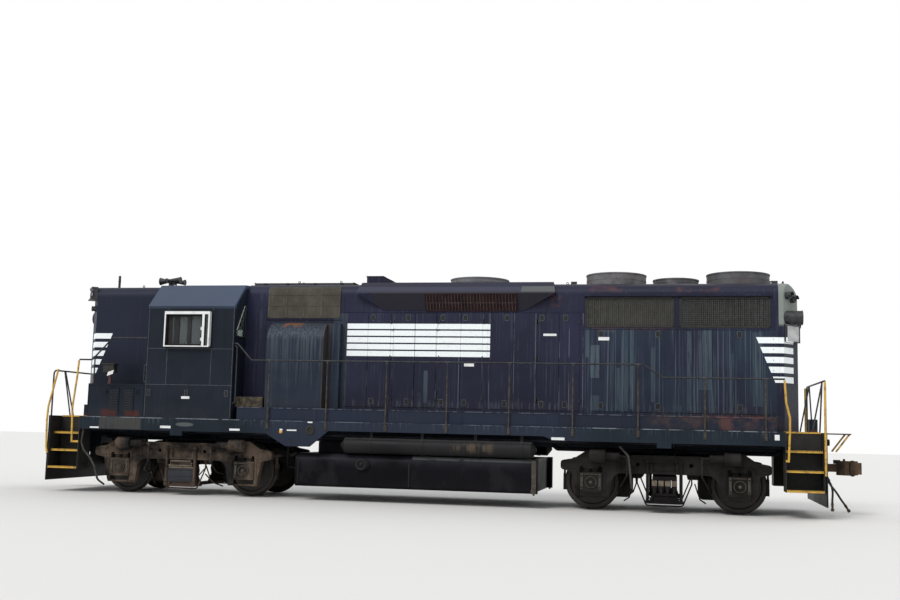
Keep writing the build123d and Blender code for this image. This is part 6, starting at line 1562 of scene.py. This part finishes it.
def add_truck_fittings(cx, body, tag):
    """Journal caps, brake cylinder details, rods, sand pipes and spring clips of one truck."""
    caps, bolts, drums, rods, clips, woods = Shape(), [], Shape(), [], [], []
    for side, hand in HANDS:
        for end in ENDS:
            x = cx + end * AXLE
            caps.ring((x, side * 1.250, up(AXLE_Z)), (0, 1, 0), 0.098, 0.112, 0.010, 36)
            caps.turned(((0.0, 0.030), (0.008, 0.030), (0.012, 0.020), (0.014, 0.0)),
                        (x, side * 1.279, up(AXLE_Z)), (0, side, 0), 20)
            for i in range(6):
                a = math.pi * (i + 0.5) / 3
                bolts.append((x + 0.072 * math.cos(a), side * 1.266, up(AXLE_Z) + 0.072 * math.sin(a)))
            for dx in (-0.170, 0.170):
                bolts += [(x + dx, side * 1.243, up(AXLE_Z + dz)) for dz in (-0.10, 0.12)]
                caps.box((x + dx - 0.022, side * 1.228, up(0.37)), (x + dx + 0.022, side * 1.243, up(0.67)))
            caps.box((x - 0.13, side * 1.228, up(0.648)), (x + 0.13, side * 1.240, up(0.664)))
            y, z = side * 1.315, up(1.005)
            drums.ring((cx + end * 1.386, y, z), (1, 0, 0), 0.080, 0.104, 0.020, 36)
            drums.turned(((0.0, 0.050), (0.012, 0.050), (0.016, 0.022), (0.030, 0.020), (0.032, 0.0)),
                         (cx + end * 1.391, y, z), (end, 0, 0), 20)
            drums.ring((cx + end * 0.860, y, z), (1, 0, 0), 0.066, 0.080, 0.020, 30)
            drums.turned(((0.0, 0.034), (0.050, 0.030), (0.052, 0.018), (0.150, 0.018)),
                         (cx + end * 0.828, y, z), (-end, 0, 0), 20)
            drums.box((cx + end * 0.672, side * 1.300, up(0.640)),
                      (cx + end * 0.704, side * 1.330, up(1.035)))
            for i in range(8):
                a = math.pi * (i + 0.5) / 4
                dy, dz = 0.118 * math.cos(a), 0.118 * math.sin(a)
                drums.box((cx + end * 1.112, y + dy - 0.009, z + dz - 0.009),
                          (cx + end * 1.150, y + dy + 0.009, z + dz + 0.009))
            rods.append([(cx + end * dx, side * y, up(z))
                         for dx, y, z in ((0.688, 1.315, 0.66), (0.80, 1.250, 0.46), (0.845, 1.02, 0.42),
                                          (0.845, 0.80, 0.42))])
            bolts += [(cx + end * (1.20 + 0.15 * i), side * 1.186, up(0.218)) for i in range(3)]
        for hx in (-0.31, 0.31):
            bolts += [(cx + hx, side * 1.262, up(z)) for z in (0.19, 0.928)]
            clips.append(((cx + hx, side * 1.252, up(0.56)), (0.018, 0.010, 0.62)))
        if cx > 0:
            for dx in (-0.183, -0.061, 0.061, 0.183):
                woods.append(((cx + dx, side * 1.200, up(0.526)), (0.096, 0.048, 0.104)))
                clips.append(((cx + dx, side * 1.205, up(0.400)), (0.046, 0.030, 0.118)))
        else:
            woods += [((cx + 0.010 * (-1) ** i, side * 1.205, up(0.532 + 0.042 * i)),
                       (0.54 - 0.03 * i, 0.056, 0.032)) for i in range(4)]
            cover = Shape().box((cx - 0.285, side * 1.196, up(0.245)), (cx + 0.285, side * 1.236, up(0.490)))
            cover.box((cx - 0.295, side * 1.190, up(0.480)), (cx + 0.295, side * 1.246, up(0.508)))
            cover.box((cx - 0.285, side * 1.190, up(0.352)), (cx + 0.285, side * 1.244, up(0.372)))
            cover.piece(f"spring_cover_{hand}", "cover", body, bevel=0.003)
    middle = [(-0.83, 1.315, 1.195), (-0.66, 1.345, 1.02), (-0.625, 1.345, 0.70), (-0.600, 1.330, 0.42)]
    outer = [(-2.114, 1.45, 1.280), (-2.145, 1.45, 0.99), (-2.08, 1.45, 0.84), (-1.92, 1.45, 0.68),
             (-1.83, 1.43, 0.52), (-1.78, 1.36, 0.24), (-1.76, 1.12, 0.13)]
    for side, hand in HANDS:
        for end in ENDS:
            rods.append([(cx + end * dx, side * y, up(z))
                         for dx, y, z in ((0.600, 1.330, 0.42), (0.655, 1.06, 0.24), (0.76, 0.80, 0.16))])
        route, carrier = (middle, body) if cx > 0 else (outer, "locomotive")
        run = [(cx + dx, side * y, up(z)) for dx, y, z in route]
        pipes(f"sand_hose_{tag}_{hand}", [run], "hose", 0.021, carrier, bend=0.14, sides=12)
    caps.piece(f"journal_caps_{tag}", "strap", body, bevel=0.0015)
    heads(f"truck_bolts_{tag}", bolts, outward(bolts), "iron", 0.017, 0.020, body)
    drums.piece(f"brake_cylinders_{tag}", "iron", body, bevel=0.002)
    pipes(f"brake_rods_{tag}", rods, "iron", 0.014, body, bend=0.05, sides=10)
    blocks(f"spring_clips_{tag}", clips, "iron", body)
    blocks(f"spring_ends_{tag}", woods, "tan", body)


def add_coupler_fittings():
    """Pin heads and lift links on both couplers."""
    for end, tag in ((1, "front"), (-1, "rear")):
        shape = Shape()
        px, py = end * 8.392, end * -0.122
        for z, way in ((1.011, 1), (0.741, -1)):
            shape.turned(((0.0, 0.034), (0.010, 0.034), (0.016, 0.026)), (px, py, up(z)), (0, 0, way), 18)
        shape.rod((end * 8.26, 0.0, up(1.010)), (end * 8.26, 0.0, up(1.050)), 0.022, 14)
        shape.box((end * 8.06, -0.012, up(0.955)), (end * 8.19, 0.012, up(1.030)))
        shape.piece(f"coupler_fittings_{tag}", "coupler", f"coupler_{tag}", bevel=0.003)


# Behind the doors and windows

def add_cab_furniture():
    """Seats with padded cushions, and the control stand with its levers and dials."""
    for side, tag in HANDS:
        y = side * 1.05
        stand = Shape()
        stand.turned(((0.0, 0.16), (0.012, 0.16), (0.020, 0.060), (0.385, 0.060), (0.392, 0.10),
                      (0.400, 0.10)), (-4.70, y, up(2.20)), (0, 0, 1), 24)
        for hand in SIDES:
            stand.box((-4.86, y + hand * 0.222, up(2.78)), (-4.58, y + hand * 0.236, up(2.81)))
            stand.box((-4.86, y + hand * 0.222, up(2.66)), (-4.83, y + hand * 0.236, up(2.80)))
        seat = stand.piece(f"seat_stand_{tag}", "rail", bevel=0.003)
        if tag == "right":
            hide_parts("cab_fittings")
        for part, low, high in (("cushion", (-4.92, y - 0.22, up(2.605)), (-4.48, y + 0.22, up(2.69))),
                                ("back", (-4.92, y - 0.22, up(2.695)), (-4.83, y + 0.22, up(3.13)))):
            pad = Shape().box(low, high)
            bmesh.ops.subdivide_edges(pad.bm, edges=pad.bm.edges, cuts=3, use_grid_fill=True)
            middle = (Vector(low) + Vector(high)) / 2
            half = (Vector(high) - Vector(low)) / 2
            thin = 2 if part == "cushion" else 0
            for vert in pad.bm.verts:
                part_way = [(vert.co[i] - middle[i]) / half[i] for i in range(3)]
                crown = math.prod(1.0 - 0.35 * part_way[i] ** 4 for i in range(3) if i != thin)
                vert.co[thin] = middle[thin] + half[thin] * part_way[thin] * crown
            body = placed("pad", pad.face_out().mesh("pad"))
            smooth = body.modifiers.new("smooth", "SUBSURF")
            smooth.levels = smooth.render_levels = 1
            settle(f"seat_{part}_{tag}", baked(body), "seat", "locomotive")
    stand = Shape()
    stand.prism([(x, -1.15, up(z)) for x, z in ((-4.25, 2.20), (-3.85, 2.20), (-3.85, 3.25), (-4.08, 3.25),
                                                (-4.25, 3.00))], (0, 0.65, 0))
    for y in (-1.05, -0.90, -0.75):
        knob = (-4.33, y, up(2.90))
        stand.rod((-4.25, y, up(2.86)), knob, 0.010, 10)
        stand.turned(((0.0, 0.012), (0.012, 0.022), (0.030, 0.020), (0.036, 0.0)), knob, (-1, 0, 0.3), 14)
    for y in (-1.04, -0.88, -0.72, -0.58):
        stand.turned(((0.0, 0.050), (0.010, 0.050), (0.012, 0.042)), (-4.16, y, up(3.135)),
                     (-0.83, 0, 0.56), 24)
    stand.piece("control_stand", "cabin", bevel=0.004)


def add_engine_fittings():
    """Power-assembly covers, top-deck lids and handhole covers on the engine block."""
    covers, lids = [], []
    for side in SIDES:
        for i in range(8):
            x = -1.22 + i * 0.50
            covers.append(((x, side * 0.556, up(2.35)), (0.34, 0.020, 0.44)))
            covers.append(((x, side * 0.556, up(1.85)), (0.30, 0.020, 0.30)))
            lids += [(x + dx, side * 0.570, up(z)) for dx, z in ((0.0, 2.35), (-0.12, 1.85), (0.12, 1.85))]
        covers.append(((0.60, side * 0.555, up(3.12)), (3.9, 0.016, 0.22)))
    blocks("engine_covers", covers, "engine")
    heads("engine_cover_nuts", lids, outward(lids), "steel", 0.022, 0.026)


def dress():
    """All the fittings, on both sides and at both ends."""
    add_door_latches()
    add_door_hinges()
    add_hood_trim()
    add_radiator_screens()
    add_intake_screens()
    add_brake_grilles()
    add_fan_fittings()
    add_roof_fittings()
    add_cab_side_fittings()
    add_corner_windows()
    add_battery_fittings()
    add_number_boards()
    add_end_fittings()
    add_step_treads()
    add_rail_fittings()
    add_frame_fittings()
    for tag, cx in (("front", TRUCK_X), ("rear", -TRUCK_X)):
        add_frame_ribs(cx, f"truck_{tag}", tag)
        add_truck_fittings(cx, f"truck_{tag}", tag)
    add_coupler_fittings()
    add_cab_furniture()
    add_engine_fittings()


aim_camera()
make_hoses()
dress()
lay_stage()
